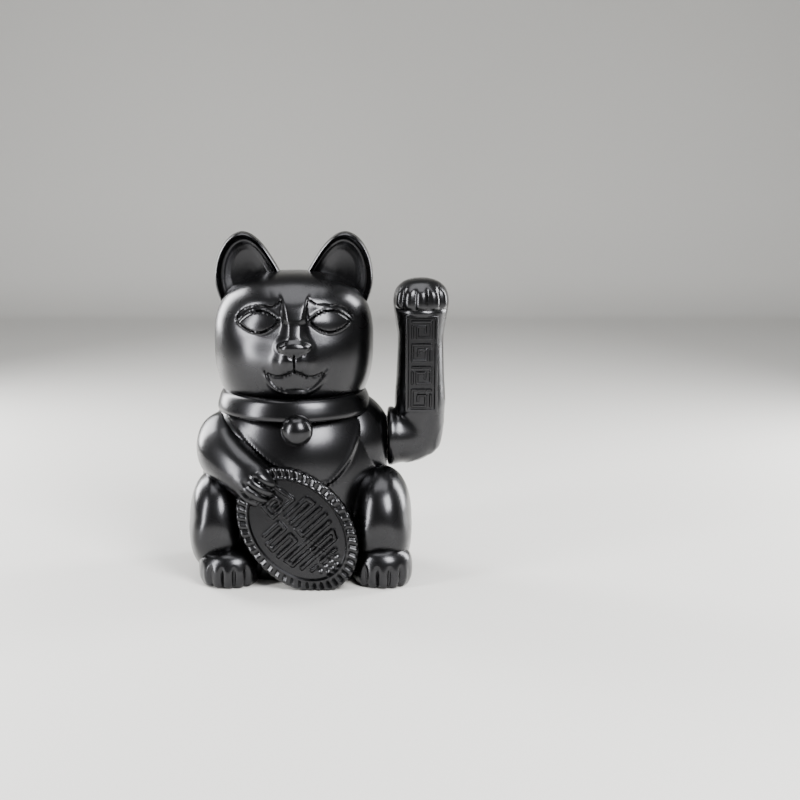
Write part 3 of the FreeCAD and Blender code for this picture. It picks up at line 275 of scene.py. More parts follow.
def makeHead():
    f = faceForm
    head = addBall("head", f["around"], f["rows"])
    points = ovalPoints(readPoints(head), f)
    front = smoothStep(-4, -30, points[:, 1])
    lift = faceRelief(points[:, 0], points[:, 2]) * front
    slope = np.clip((points[:, 1] - f["y"]) / f["halfDeep"], -1, 0)
    points[:, 1] -= lift * (0.55 - 0.45 * slope)
    points[:, 2] += lift * 0.12 * np.where(points[:, 2] < 180, -1, 0)
    return writePoints(head, points)


earForm = {
    "around": 132, "rows": 64, "centre": (37, 262), "y": 6, "backDeep": 9.5,
    "outline": [(57, 224), (64.5, 237), (68.6, 251), (68.8, 265), (65, 280), (57.5, 292), (47.5, 298), (38, 296.6),
                (28, 288.5), (19, 276), (11.6, 263), (7, 250), (8, 236), (20, 226), (38, 222)],
    # height of the front over the distance from the ear's middle: a dish, an inner ridge, a groove, the rim
    "reach": [0, 0.3, 0.55, 0.7, 0.775, 0.815, 0.85, 0.885, 0.93, 0.97, 1],
    "front": [-1.6, -0.8, 0.8, 3.0, 5.0, 5.4, 4.1, 6.0, 8.6, 7.2, 0],
}


def makeEar(name, side):
    f = earForm
    ear = addBall(name, f["around"], f["rows"])
    unit = readPoints(ear)
    outline = np.array(softCurve(f["outline"], 10, closed=True)) - np.array(f["centre"])
    angles = np.arctan2(outline[:, 1], outline[:, 0])
    order = np.argsort(angles)
    turn = np.arctan2(unit[:, 1], unit[:, 0])
    reachOut = np.hypot(outline[:, 0], outline[:, 1])
    radius = np.interp(turn, angles[order], reachOut[order], period=2 * math.pi)
    polar = np.arccos(np.clip(np.abs(unit[:, 2]), 0, 1)) / (math.pi / 2)
    reach = np.sin(np.clip(polar, 0, 1) * math.pi / 2) ** 0.9
    x = f["centre"][0] + radius * reach * np.cos(turn)
    z = f["centre"][1] + radius * reach * np.sin(turn)
    front = -np.interp(reach, f["reach"], f["front"])
    back = f["backDeep"] * np.sqrt(np.clip(1 - reach ** 2.4, 0, 1))
    y = f["y"] + np.where(unit[:, 2] > 0, front, back)
    writePoints(ear, np.stack([side * x, y, z], 1))
    return faceOutwards(ear)


bodyForm = {
    "around": 232, "rows": 150, "squareness": 2.8, "frontDensity": 0.4,
    "halfWide": 82, "halfDeep": 64, "up": 95, "down": 110, "y": 0, "z": 70,
    "bib": [(-63, 158), (-49, 133), (-31, 116), (-12, 103), (6, 92), (28, 87), (45, 101), (55, 119),
            (60.5, 138), (63, 158)],
    "bibThick": 1.9, "bibHem": 0.8, "bibGroove": 0.6, "chestLift": 2.5,
}
collarForm = {"r": 60.6, "y": -2, "z": 152.6, "halfHigh": 9.4, "halfDeep": 5.6, "flare": 2.6, "power": 3.1}
bellForm = {"r": 13.6, "centre": (4, -69, 137)}


def makeTorso():
    f = bodyForm
    torso = addBall("torso", f["around"], f["rows"])
    points = ovalPoints(readPoints(torso), f)
    x, z = points[:, 0], points[:, 2]
    front = smoothStep(-6, -16, points[:, 1])
    inside = insideDistance(x, z, softCurve(f["bib"], closed=True))
    lift = f["bibThick"] * smoothStep(-0.9, 1.1, inside) + f["bibHem"] * np.exp(-((inside - 2.2) / 1.4) ** 2)
    lift -= f["bibGroove"] * np.exp(-((inside + 1.3) / 1.1) ** 2)
    lift += f["chestLift"] * hill(x, z, (4, 112), (34, 26))
    points[:, 1] -= lift * front
    return writePoints(torso, points)


def makeCollar():
    f = collarForm
    selectOnly()
    bpy.ops.mesh.primitive_torus_add(major_segments=160, minor_segments=32, major_radius=2, minor_radius=1)
    collar = bpy.context.object
    collar.name = "collar"
    unit = readPoints(collar)
    turn = np.arctan2(unit[:, 1], unit[:, 0])
    out, rise = squarish(np.hypot(unit[:, 0], unit[:, 1]) - 2, unit[:, 2], f["power"])
    r = f["r"] + f["halfDeep"] * out - f["flare"] * rise
    x, y, z = r * np.cos(turn), f["y"] + r * np.sin(turn), f["z"] + f["halfHigh"] * rise
    return writePoints(collar, np.stack([x, y, z], 1))


def makeBell():
    f = bellForm
    bell = addBall("bell", 72, 44)
    points = readPoints(bell)
    return writePoints(bell, points * f["r"] + np.array(f["centre"]))


pillowForms = {
    "haunchLeft": {"axis": "x", "radius": 43.5, "half": 24, "power": 2.3, "fuller": 0.9, "centre": (-67, -29, 50),
                   "around": 96, "rows": 60},
    "haunchRight": {"axis": "x", "radius": 45.5, "half": 27, "power": 2.3, "fuller": 0.9, "centre": (76, -29, 51),
                    "around": 96, "rows": 60},
    "footLeft": {"axis": "z", "radius": 26.4, "half": 19.6, "power": 2.7, "centre": (-55.4, -54, 13),
                 "around": 156, "rows": 60},
    "footRight": {"axis": "z", "radius": 26, "half": 21, "power": 2.7, "centre": (77, -54.4, 14),
                  "around": 156, "rows": 60},
    "tail": {"axis": "x", "radius": 12.8, "half": 30, "power": 2.6, "centre": (22, 64, 26),
             "around": 72, "rows": 48},
}
toeForm = {"turns": (-0.62, -0.2, 0.22, 0.64), "apart": 0.42, "deep": 2.4, "wide": 0.06, "puff": 0.7, "top": 19}


def makePillow(name):
    f = pillowForms[name]
    piece = addBall(name, f["around"], f["rows"])
    unit = readPoints(piece)
    points = pillowPoints(unit, f)
    if name.startswith("foot"):
        # grooves between the toes, pressed in around the front below the instep
        cx, cy, cz = f["centre"]
        turn = np.arctan2(points[:, 0] - cx, cy - points[:, 1])
        front = smoothStep(1.25, 0.85, np.abs(turn)) * smoothStep(0.35, 0.72, np.hypot(unit[:, 0], unit[:, 1]))
        front *= smoothStep(toeForm["top"] + 3, toeForm["top"] - 6, points[:, 2])
        press = sum(np.exp(-((turn - t) / toeForm["wide"]) ** 2) for t in toeForm["turns"])
        swell = 0.5 - 0.5 * np.cos((turn - toeForm["turns"][0]) / toeForm["apart"] * 2 * math.pi)
        move = (toeForm["puff"] * swell - toeForm["deep"] * press) * front
        r = np.maximum(np.hypot(points[:, 0] - cx, points[:, 1] - cy), 1e-6)
        points[:, 0] += (points[:, 0] - cx) / r * move
        points[:, 1] += (points[:, 1] - cy) / r * move
    writePoints(piece, points)
    return faceOutwards(piece)


holdingForm = {
    "around": 100, "rows": 110,
    "path": [(-50, -1, 119), (-57.5, -10, 115), (-57.5, -27, 108), (-50, -42, 102), (-39, -55, 95),
             (-30.5, -61, 88.5)],
    "radius": [24, 28, 26.5, 23.8, 21.2, 20],
    "capStart": 0.2, "capEnd": 0.25,  # shares of the rows that round off the shoulder and the paw
    "row": (-0.62, 0.12, -0.78), "grooves": (-8.6, 0.2, 9.0), "apart": 8.8, "deep": 2.6, "wide": 1.25, "puff": 0.8,
}
shoulderForm = {"half": (41, 40, 47), "centre": (46, -1, 112)}


def makeHoldingArm():
    f = holdingForm
    arm = addBall("holdingArm", f["around"], f["rows"])
    unit = readPoints(arm)
    share = np.arccos(np.clip(unit[:, 2], -1, 1)) / math.pi
    turn = np.arctan2(unit[:, 1], unit[:, 0])
    path = np.array(softCurve(f["path"], 12))
    steps = np.linspace(0, 1, len(path))
    sizes = np.interp(steps, np.linspace(0, 1, len(f["radius"])), f["radius"])
    pawFrom = 1 - f["capEnd"]
    t = np.clip((share - f["capStart"]) / (pawFrom - f["capStart"]), 0, 1)
    centre = np.stack([np.interp(t, steps, path[:, k]) for k in range(3)], 1)
    slope = np.gradient(path, axis=0)
    slope /= np.linalg.norm(slope, axis=1)[:, None]
    ahead = np.stack([np.interp(t, steps, slope[:, k]) for k in range(3)], 1)
    ahead /= np.linalg.norm(ahead, axis=1)[:, None]
    across = np.cross(ahead, (0, 0, 1.0))
    across /= np.linalg.norm(across, axis=1)[:, None]
    above = np.cross(across, ahead)
    radius = np.interp(t, steps, sizes)
    capStart = np.clip(share / f["capStart"], 0, 1) * math.pi / 2
    capEnd = np.clip((1 - share) / f["capEnd"], 0, 1) * math.pi / 2
    along = np.where(share < f["capStart"], -np.cos(capStart), np.where(share > pawFrom, np.cos(capEnd), 0))
    ring = np.where(share < f["capStart"], np.sin(capStart), np.where(share > pawFrom, np.sin(capEnd), 1))
    outwards = (ahead * along[:, None] + across * (ring * np.cos(turn))[:, None]
                + above * (ring * np.sin(turn))[:, None])
    points = centre + outwards * radius[:, None]
    # the toes lie side by side in a row across the end of the paw
    row = np.array(f["row"]) - ahead[-1] * np.dot(f["row"], ahead[-1])
    row /= np.linalg.norm(row)
    tip = points - path[-1]
    beside, past = tip @ row, tip @ slope[-1]
    press = sum(np.exp(-((beside - a) / f["wide"]) ** 2) for a in f["grooves"])
    reach = smoothStep(-5, 5, past) * (share > 0.5)
    swell = 0.5 - 0.5 * np.cos((beside - f["grooves"][0]) / f["apart"] * 2 * math.pi)
    points += outwards * ((f["puff"] * swell - f["deep"] * press) * reach)[:, None]
    writePoints(arm, points)
    return faceOutwards(arm)


def makeShoulder():
    shoulder = addBall("shoulder", 128, 80)
    points = readPoints(shoulder) * np.array(shoulderForm["half"])
    return writePoints(shoulder, points + np.array(shoulderForm["centre"]))


coinForm = {
    "around": 352, "rows": 104, "faceRows": 0.62, "edgeRows": 0.74,
    "long": 61, "short": 44, "thick": 21, "centre": (4, -57, 50), "turn": 48, "lean": 6,
    "rim": 10.8, "hem": 0.9, "edgeRound": 3.2, "sunk": 2.8, "notches": 44, "notchDeep": 1.9,
    "fret": 2.4, "line": 1.55, "bead": 1.6, "beadWide": 1.7,
    # a square spiral, a wave and steps, as raised lines over the long and short way of the field
    "frets": [
        [(-40, -9), (-40, 11), (-22, 15), (-22, -8), (-34, -8), (-34, 5), (-28, 6), (-28, -2)],
        [(-15, -24), (-15, -7), (-8, -7), (-8, -27), (-1, -27), (-1, -7), (6, -7), (6, -27)],
        [(-15, 0), (-15, 24), (-8, 26), (-8, 0)], [(-1, 27), (-1, 0), (6, 0), (6, 27)],
        [(13, 25), (13, -25), (20, -23), (20, 22), (27, 19), (27, -19)],
        [(34, 13), (34, -3)], [(34, -9), (34, -14)],
    ],
    "beads": [(40, 9), (40, 3), (40, -3), (40, -9), (44.5, 5), (44.5, 0), (44.5, -5)],
}


def coinRelief(u, v, reach):
    f = coinForm
    lift = np.zeros(u.shape)
    for line in f["frets"]:
        d = lineDistance(u, v, line)
        lift = np.maximum(lift, f["fret"] * smoothStep(f["line"] + 0.6, f["line"] - 0.6, d))
    for cx, cz in f["beads"]:
        lift = np.maximum(lift, f["bead"] * np.exp(-(np.hypot(u - cx, v - cz) / f["beadWide"]) ** 2))
    return lift * smoothStep(1.0, 0.96, reach)


def makeCoin():
    f = coinForm
    coin = addBall("coin", f["around"], f["rows"])
    unit = readPoints(coin)
    turn = np.arctan2(unit[:, 1], unit[:, 0])
    polar = np.arccos(np.clip(unit[:, 2], -1, 1))
    # rows go from the middle of the face out to the rim, round the edge, and back to the middle behind
    edgeLow, edgeHigh = math.pi * f["faceRows"], math.pi * f["edgeRows"]
    behind = np.where(polar > edgeHigh, (math.pi - polar) / (math.pi - edgeHigh), 1)
    share = np.where(polar < edgeLow, polar / edgeLow, behind)
    down = np.clip((polar - edgeLow) / (edgeHigh - edgeLow), 0, 1)
    fieldShare = 1 - f["rim"] / (0.5 * (f["long"] + f["short"]))
    long, short = f["long"] * share, f["short"] * share
    u, v = long * np.cos(turn), short * np.sin(turn)
    margin = (1 - share) * 0.5 * (f["long"] + f["short"])
    field = smoothStep(f["rim"] - 0.7, f["rim"] + 0.9, margin)
    front = polar <= edgeLow
    notch = 0.5 + 0.5 * np.cos(turn * f["notches"])
    ribs = f["notchDeep"] * notch ** 2 * smoothStep(f["rim"] - 1.8, f["rim"] - 3.4, margin)
    hem = f["hem"] * np.exp(-((margin - f["rim"] + 1.0) / 0.9) ** 2)
    bend = np.clip(1 - margin / f["edgeRound"], 0, 1)
    roundOff = f["edgeRound"] * (1 - np.sqrt(np.clip(1 - bend ** 2, 0, 1)))
    top = f["thick"] - f["sunk"] * field + coinRelief(u, v, share / fieldShare) * field - ribs + hem - roundOff
    start = f["thick"] - f["edgeRound"] - f["notchDeep"] * notch ** 2
    height = np.where(front, top, start * (1 - down))
    shrink = 1 - np.where(front, 0, 0.012) * notch ** 2
    points = np.stack([u * shrink, -height, v * shrink], 1)
    a, b = math.radians(f["turn"]), math.radians(-f["lean"])
    x = points[:, 0] * math.cos(a) + points[:, 2] * math.sin(a)
    z = -points[:, 0] * math.sin(a) + points[:, 2] * math.cos(a)
    y = points[:, 1] * math.cos(b) - z * math.sin(b)
    z = points[:, 1] * math.sin(b) + z * math.cos(b)
    writePoints(coin, np.stack([x, y, z], 1) + np.array(f["centre"]))
    return faceOutwards(coin)


raisedForm = {
    "around": 190, "rows": 160, "x": 111, "axleZ": 117.5,
    "profile": [(0, 98.6), (7.7, 100), (14.4, 104.6), (19.4, 114.5), (22.4, 145), (21.1, 172), (20, 203),
                (21.6, 218), (23.4, 230), (24.2, 240), (21.8, 249), (15.5, 255.1), (7.8, 257.8), (0, 258.5)],
    "stub": [(0, 82.6), (24.3, 82.6), (24.4, 92), (23.9, 101), (21, 112), (15.6, 121), (8.3, 125.2), (0, 126.5)],
    "elbow": {"upright": 21.8, "lying": 23, "reach": 8.5, "pastX": 91, "factor": 0.6, "rounds": 180},
    "fingers": (-0.78, -0.28, 0.24, 0.74), "fingersApart": 0.51, "fingerDeep": 1.5, "fingerWide": 0.085,
    "fingerPuff": 0.9, "palmZ": 234, "palmCrease": 1.5,
}
plaqueForm = {"halfWide": 13.9, "low": 143.2, "high": 228, "front": -22.6, "rim": 2.4, "sunk": 1.5, "fret": 1.3,
              "line": 0.95, "glyphs": 4, "across": 90, "up": 240, "bevel": 0.7, "inset": 0.9,
              # one square spiral; every other one is mirrored
              "spiral": ([(-8, 7), (8, 7), (8, -7), (-4, -7), (-4, 2.4), (3, 2.4), (3, -2.4)], [(-8, 2.8), (-8, -7)])}


def turnedPoints(unit, profile):
    # a profile of radius and height, turned about Z; rows follow its length
    profile = np.array(softCurve(profile, 8))
    gaps = np.hypot(*np.diff(profile, axis=0).T)
    length = np.concatenate([[0], np.cumsum(gaps)])
    share = (1 - np.arccos(np.clip(unit[:, 2], -1, 1)) / math.pi) * length[-1]
    turn = np.arctan2(unit[:, 1], unit[:, 0])
    return np.maximum(np.interp(share, length, profile[:, 0]), 0), turn, np.interp(share, length, profile[:, 1])


def plaqueRelief(x, z):
    f = plaqueForm
    margin = np.minimum.reduce([x + f["halfWide"], f["halfWide"] - x, z - f["low"], f["high"] - z])
    lift = -f["sunk"] * smoothStep(f["rim"] - 0.35, f["rim"] + 0.45, margin)
    step = (f["high"] - f["low"] - 2 * f["rim"]) / f["glyphs"]
    raised = np.zeros(x.shape)
    for k in range(f["glyphs"]):
        middle = f["low"] + f["rim"] + step * (k + 0.5)
        flip = 1 if k % 2 else -1
        for line in f["spiral"]:
            d = lineDistance(x * flip, z - middle, line)
            raised = np.maximum(raised, smoothStep(f["line"] + 0.4, f["line"] - 0.4, d))
    return lift + f["fret"] * raised


def makeRaisedArm():
    f = raisedForm
    arm = addBall("raisedArm", f["around"], f["rows"])
    unit = readPoints(arm)
    r, turn, z = turnedPoints(unit, f["profile"])
    fromFront = np.arctan2(np.sin(turn + math.pi / 2), np.cos(turn + math.pi / 2))
    press = sum(np.exp(-((fromFront - a) / f["fingerWide"]) ** 2) for a in f["fingers"])
    tips = smoothStep(f["palmZ"] - 3, f["palmZ"] + 2, z) * smoothStep(253.5, 246, z)
    facing = smoothStep(1.25, 0.95, np.abs(fromFront))
    swell = 0.5 - 0.5 * np.cos((fromFront - f["fingers"][0]) / f["fingersApart"] * 2 * math.pi)
    r = r - f["fingerDeep"] * press * tips + (f["fingerPuff"] * swell + 0.6) * tips * facing
    r = r - f["palmCrease"] * np.exp(-((z - f["palmZ"] + 1.5) / 1.3) ** 2) * facing
    writePoints(arm, np.stack([f["x"] + r * np.cos(turn), r * np.sin(turn), z], 1))
    faceOutwards(arm)
    stub = addBall("stub", 120, 90)
    r, turn, x = turnedPoints(readPoints(stub), f["stub"])
    writePoints(stub, np.stack([x, r * np.cos(turn), f["axleZ"] + r * np.sin(turn)], 1))
    faceOutwards(stub)
    combine(arm, stub, "UNION")
    # the bend at the elbow is eased, because two turned forms meet there in a crease
    points = readPoints(arm)
    upright = np.hypot(points[:, 0] - f["x"], points[:, 1])
    lying = np.hypot(points[:, 1], points[:, 2] - f["axleZ"])
    e = f["elbow"]
    crease = (np.abs(upright - e["upright"]) < e["reach"]) & (np.abs(lying - e["lying"]) < e["reach"])
    crease &= points[:, 0] > e["pastX"]
    group = arm.vertex_groups.new(name="elbow")
    group.add([int(k) for k in np.nonzero(crease)[0]], 1.0, "REPLACE")
    selectOnly(arm)
    step = arm.modifiers.new("ease", "SMOOTH")
    step.factor, step.iterations, step.vertex_group = e["factor"], e["rounds"], "elbow"
    bpy.ops.object.modifier_apply(modifier=step.name)
    p = plaqueForm
    plaque = addBlock("plaque", (f["x"] - p["halfWide"], p["front"], p["low"]),
                      (f["x"] + p["halfWide"], -4, p["high"]))
    selectOnly(plaque)
    step = plaque.modifiers.new("soften", "BEVEL")
    step.width, step.segments = p["bevel"], 3
    bpy.ops.object.modifier_apply(modifier=step.name)
    combine(arm, plaque, "UNION")
    # the plaque's sunk field with its frets is a fine grid let into the block
    selectOnly()
    bpy.ops.mesh.primitive_grid_add(x_subdivisions=p["across"], y_subdivisions=p["up"], size=2)
    field = bpy.context.object
    field.name = "field"
    flat = readPoints(field)
    x = flat[:, 0] * (p["halfWide"] - p["inset"])
    z = (p["low"] + p["high"]) / 2 + flat[:, 1] * ((p["high"] - p["low"]) / 2 - p["inset"])
    y = p["front"] - plaqueRelief(x, z)
    writePoints(field, np.stack([f["x"] + x, y, z], 1))
    selectOnly(field)
    bpy.ops.object.mode_set(mode="EDIT")
    bpy.ops.mesh.select_all(action="SELECT")
    bpy.ops.mesh.extrude_region_move(TRANSFORM_OT_translate={"value": (0, -8, 0)})
    bpy.ops.object.mode_set(mode="OBJECT")
    points = readPoints(field)
    outer = points[:, 1] < p["front"] - 4
    points[outer, 1] = p["front"] - 6
    writePoints(field, points)
    faceOutwards(field)
    combine(arm, field, "DIFFERENCE")
    return arm


shellForm = {"wall": 2.6, "headWall": 7.1, "rim": 1.5, "facetX": 81.5, "facetHalfY": 34, "facetHigh": 157.5,
             "scoopR": 27.2, "sharper": 32, "beyond": 200, "above": 400}


def placeInFrame(obj):
    points = readPoints(obj) + np.array([place["shiftX"], place["shiftY"], 0])
    return writePoints(obj, points * 0.001)


def partAtSeam(whole, frontName, rearName):
    rear = copyOf(whole, rearName)
    whole.name = frontName
    whole.data.name = frontName
    far, high, seam = shellForm["beyond"], shellForm["above"], place["seamY"]
    combine(whole, addBlock("behind", (-far, seam, -50), (far, far, high)), "DIFFERENCE")
    combine(rear, addBlock("before", (-far, -far, -50), (far, seam, high)), "DIFFERENCE")
    for piece in (whole, rear):
        placeInFrame(piece)
        selectOnly(piece)
        bpy.ops.object.shade_smooth_by_angle(angle=math.radians(shellForm["sharper"]))
    return whole, rear


print("shaping the body")
cat = makeTorso()
limbs = [makePillow(name) for name in pillowForms]
for piece in limbs + [makeShoulder(), makeHoldingArm(), makeCoin(), makeCollar(), makeBell()]:
    combine(cat, piece, "UNION")
print("shaping the head")
combine(cat, makeHead(), "UNION")
combine(cat, makeEar("earLeft", -1), "UNION")
combine(cat, makeEar("earRight", 1), "UNION")
s = shellForm
# the flat that the arm swings against: straight above its shaft, and a round scoop below it
selectOnly()
bpy.ops.mesh.primitive_cylinder_add(vertices=128, radius=s["scoopR"], depth=60, rotation=(0, math.pi / 2, 0),
                                    location=(s["facetX"] + 30, 0, raisedForm["axleZ"]))
scoop = bpy.context.object
bpy.ops.object.transform_apply(location=True, rotation=True, scale=True)
combine(scoop, addBlock("pastSide", (s["facetX"], -s["facetHalfY"], raisedForm["axleZ"]),
                        (s["facetX"] + 60, s["facetHalfY"], s["facetHigh"])), "UNION")
combine(cat, scoop, "DIFFERENCE")
combine(cat, addBlock("belowRim", (-s["beyond"], -s["beyond"], -100), (s["beyond"], s["beyond"], s["rim"])),
        "DIFFERENCE")
print("hollowing and parting the shells")
room = addBall("room", 96, 64)
writePoints(room, ovalPoints(readPoints(room), {**bodyForm, "frontDensity": 0}, s["wall"]))
headRoom = addBall("headRoom", 96, 64)
plainHead = {**faceForm, "frontDensity": 0, "rowDensity": 0}
writePoints(headRoom, ovalPoints(readPoints(headRoom), plainHead, s["headWall"]))
combine(room, headRoom, "UNION")
combine(cat, room, "DIFFERENCE")
frontSkin, rearSkin = partAtSeam(cat, "frontSkin", "rearSkin")
print("shaping the raised arm")
armFront, armRear = partAtSeam(makeRaisedArm(), "armFrontSkin", "armRearSkin")
for skin, node, body in ((frontSkin, "front_shell", "body"), (rearSkin, "rear_shell", "body"),
                         (armFront, "arm_front_shell", "arm"), (armRear, "arm_rear_shell", "arm")):
    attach(skin, body)
    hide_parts(node)
    print(skin.name, sum(len(p.vertices) - 2 for p in skin.data.polygons), "triangles")


def toLinear(code):
    parts = [int(code[k:k + 2], 16) / 255 for k in (1, 3, 5)]
    return [v / 12.92 if v <= 0.04045 else ((v + 0.055) / 1.055) ** 2.4 for v in parts] + [1]


def addNode(tree, kind, settings, links=()):
    node = tree.nodes.new("ShaderNode" + kind)
    for key, value in settings.items():
        if key in node.inputs:
            node.inputs[key].default_value = value
        else:
            setattr(node, key, value)
    for socket, source in links:
        tree.links.new(source, node.inputs[socket])
    return node


# One entry for each finish: what it is made of and how its surface was made.
# grain and fleck are the sizes in millimetres of its relief and of its specks of colour, and depth the
# height of that relief. Real grain under 0.2 mm would not show, so it is drawn coarser.
# colours are the two shades that the specks run between. The IOR stays at 1.5, near that of all these
# plastics and of the lacquer's resin.
finishes = {
    # satin metallic lacquer sprayed on moulded ABS: dark grey mirror tones with soft, broad highlights
    "blackLacquer": {"slot": "black_lacquer", "colours": ("#2c2c2e", "#353537"), "metallic": 1.0, "roughness": 0.27,
                     "spread": 0.05, "grain": 1.6, "depth": 0.02,
                     "fleck": 0.45, "coat": 0.25, "coatRoughness": 0.22},
    # ABS from a spark-textured mould: matt black with a fine tooth
    "mouldedAbs": {"slot": "black_abs", "colours": ("#1a1a1c", "#232325"), "metallic": 0.0, "roughness": 0.52,
                   "spread": 0.1, "grain": 0.7, "depth": 0.03,
                   "fleck": 0.3, "coat": 0.0, "coatRoughness": 0.2},
    # nylon, moulded smooth: a grey knob with a dull shine
    "mouldedNylon": {"slot": "slider_plastic", "colours": ("#77777a", "#838386"), "metallic": 0.0, "roughness": 0.45,
                     "spread": 0.08, "grain": 0.8, "depth": 0.02,
                     "fleck": 0.3, "coat": 0.0, "coatRoughness": 0.2},
    # zinc-plated steel wire and screws: cool silver with faint clouds
    "zincPlatedSteel": {"slot": "steel", "colours": ("#a3a5a8", "#bcbcb8"), "metallic": 1.0, "roughness": 0.3,
                        "spread": 0.12, "grain": 1.2, "depth": 0.01,
                        "fleck": 0.4, "coat": 0.0, "coatRoughness": 0.2},
    # nitrile rubber, moulded: dead matt, nearly black
    "mouldedRubber": {"slot": "rubber", "colours": ("#161616", "#202020"), "metallic": 0.0, "roughness": 0.75,
                      "spread": 0.1, "grain": 0.5, "depth": 0.03,
                      "fleck": 0.25, "coat": 0.0, "coatRoughness": 0.2},
    # nickel-plated spring steel: bright and slightly warm
    "nickelPlatedSpring": {"slot": "contact_steel", "colours": ("#c4c2bc", "#d2d0ca"), "metallic": 1.0, "roughness": 0.2,
                           "spread": 0.08, "grain": 1.5, "depth": 0.008,
                           "fleck": 0.4, "coat": 0.0, "coatRoughness": 0.2},
    # printed PVC sleeve shrunk on a cell: smooth, with one thin gloss over slate grey
    "shrinkSleeve": {"slot": "cell_jacket", "colours": ("#3a4048", "#454b54"), "metallic": 0.0, "roughness": 0.28,
                     "spread": 0.06, "grain": 3.0, "depth": 0.02,
                     "fleck": 1.0, "coat": 0.4, "coatRoughness": 0.1},
    # oil-filled sintered bronze: brown gold, open pores that dull the shine
    "sinteredBronze": {"slot": "bushing_bronze", "colours": ("#8c6a3e", "#a67f4c"), "metallic": 1.0, "roughness": 0.48,
                       "spread": 0.14, "grain": 0.4, "depth": 0.03,
                       "fleck": 0.2, "coat": 0.0, "coatRoughness": 0.2},
    # enamelled copper wire, wound: the turns show as fine relief under a clear gloss
    "enamelledCopper": {"slot": "coil_copper", "colours": ("#7c3a1c", "#b05c2c"), "metallic": 1.0, "roughness": 0.28,
                        "spread": 0.08, "grain": 0.5, "depth": 0.12,
                        "fleck": 0.5, "coat": 0.5, "coatRoughness": 0.1},
    # glass-epoxy board under solder mask: even green, half gloss
    "solderMask": {"slot": "board_laminate", "colours": ("#124a2a", "#185a34"), "metallic": 0.0, "roughness": 0.3,
                   "spread": 0.08, "grain": 1.0, "depth": 0.02,
                   "fleck": 0.5, "coat": 0.3, "coatRoughness": 0.12},
    # black moulding epoxy: dull, with the fine grain of its mould
    "mouldedEpoxy": {"slot": "chip_epoxy", "colours": ("#141415", "#1c1c1d"), "metallic": 0.0, "roughness": 0.6,
                     "spread": 0.08, "grain": 0.3, "depth": 0.01,
                     "fleck": 0.2, "coat": 0.0, "coatRoughness": 0.2},
    # PVC wire insulation, extruded: plain red with a low shine
    "redPvc": {"slot": "lead_red_pvc", "colours": ("#a3181a", "#b3201f"), "metallic": 0.0, "roughness": 0.4,
               "spread": 0.06, "grain": 0.8, "depth": 0.01,
               "fleck": 0.4, "coat": 0.0, "coatRoughness": 0.2},
    # the same insulation in black
    "blackPvc": {"slot": "lead_black_pvc", "colours": ("#18181a", "#202022"), "metallic": 0.0, "roughness": 0.4,
                 "spread": 0.06, "grain": 0.8, "depth": 0.01,
                 "fleck": 0.4, "coat": 0.0, "coatRoughness": 0.2},
    # nickel plate on a pressed magnet: the brightest metal in the cat
    "nickelPlatedMagnet": {"slot": "magnet_nickel", "colours": ("#b4b2ae", "#c6c4bf"), "metallic": 1.0, "roughness": 0.16,
                           "spread": 0.06, "grain": 2.0, "depth": 0.008,
                           "fleck": 0.6, "coat": 0.0, "coatRoughness": 0.2},
    # iron cast in sand, unpainted: dark, rough and uneven
    "sandCastIron": {"slot": "weight_iron", "colours": ("#4c4a48", "#5f5a55"), "metallic": 0.9, "roughness": 0.62,
                     "spread": 0.15, "grain": 0.9, "depth": 0.12,
                     "fleck": 0.4, "coat": 0.0, "coatRoughness": 0.2},
}


cloudSize = 45  # millimetres across the patches where a finish is a little glossier or duller


def makeFinish(name, f):
    material = bpy.data.materials.new(name)
    material.use_nodes = True
    tree = material.node_tree
    tree.nodes.clear()
    where = addNode(tree, "TexCoord", {}).outputs["Object"]
    # objects are in metres, so a noise of scale 1000 / size has marks of that many millimetres
    grain = addNode(tree, "TexNoise", {"Scale": 1000 / f["grain"], "Detail": 3.0}, [("Vector", where)])
    fleck = addNode(tree, "TexNoise", {"Scale": 1000 / f["fleck"], "Detail": 1.0}, [("Vector", where)])
    cloud = addNode(tree, "TexNoise", {"Scale": 1000 / cloudSize, "Detail": 2.0}, [("Vector", where)])
    colour = addNode(tree, "ValToRGB", {}, [("Fac", fleck.outputs["Fac"])])
    for stop, code, at in zip(colour.color_ramp.elements, f["colours"], (0.35, 0.65)):
        stop.color, stop.position = toLinear(code), at
    smooth, dull = f["roughness"] - f["spread"] / 2, f["roughness"] + f["spread"] / 2
    rough = addNode(tree, "MapRange", {"From Min": 0.3, "From Max": 0.7, "To Min": smooth, "To Max": dull},
                    [("Value", cloud.outputs["Fac"])])
    bump = addNode(tree, "Bump", {"Strength": 0.6, "Distance": f["depth"] / 1000}, [("Height", grain.outputs["Fac"])])
    shader = addNode(tree, "BsdfPrincipled", {"Metallic": f["metallic"], "Coat Weight": f["coat"],
                                              "Coat Roughness": f["coatRoughness"]},
                     [("Base Color", colour.outputs["Color"]), ("Roughness", rough.outputs["Result"]),
                      ("Normal", bump.outputs["Normal"])])
    addNode(tree, "OutputMaterial", {}, [("Surface", shader.outputs["BSDF"])])
    return material


print("painting")
paints = {f["slot"]: makeFinish(name, f) for name, f in finishes.items()}
for skin in (frontSkin, rearSkin, armFront, armRear):
    skin.data.materials.clear()
    skin.data.materials.append(paints["black_lacquer"])
for part in frame["record"]["subparts"]:
    obj = frame["nodes"][part["node"]]
    for slot in obj.material_slots:
        slot.material = paints[part["material_slot"]]


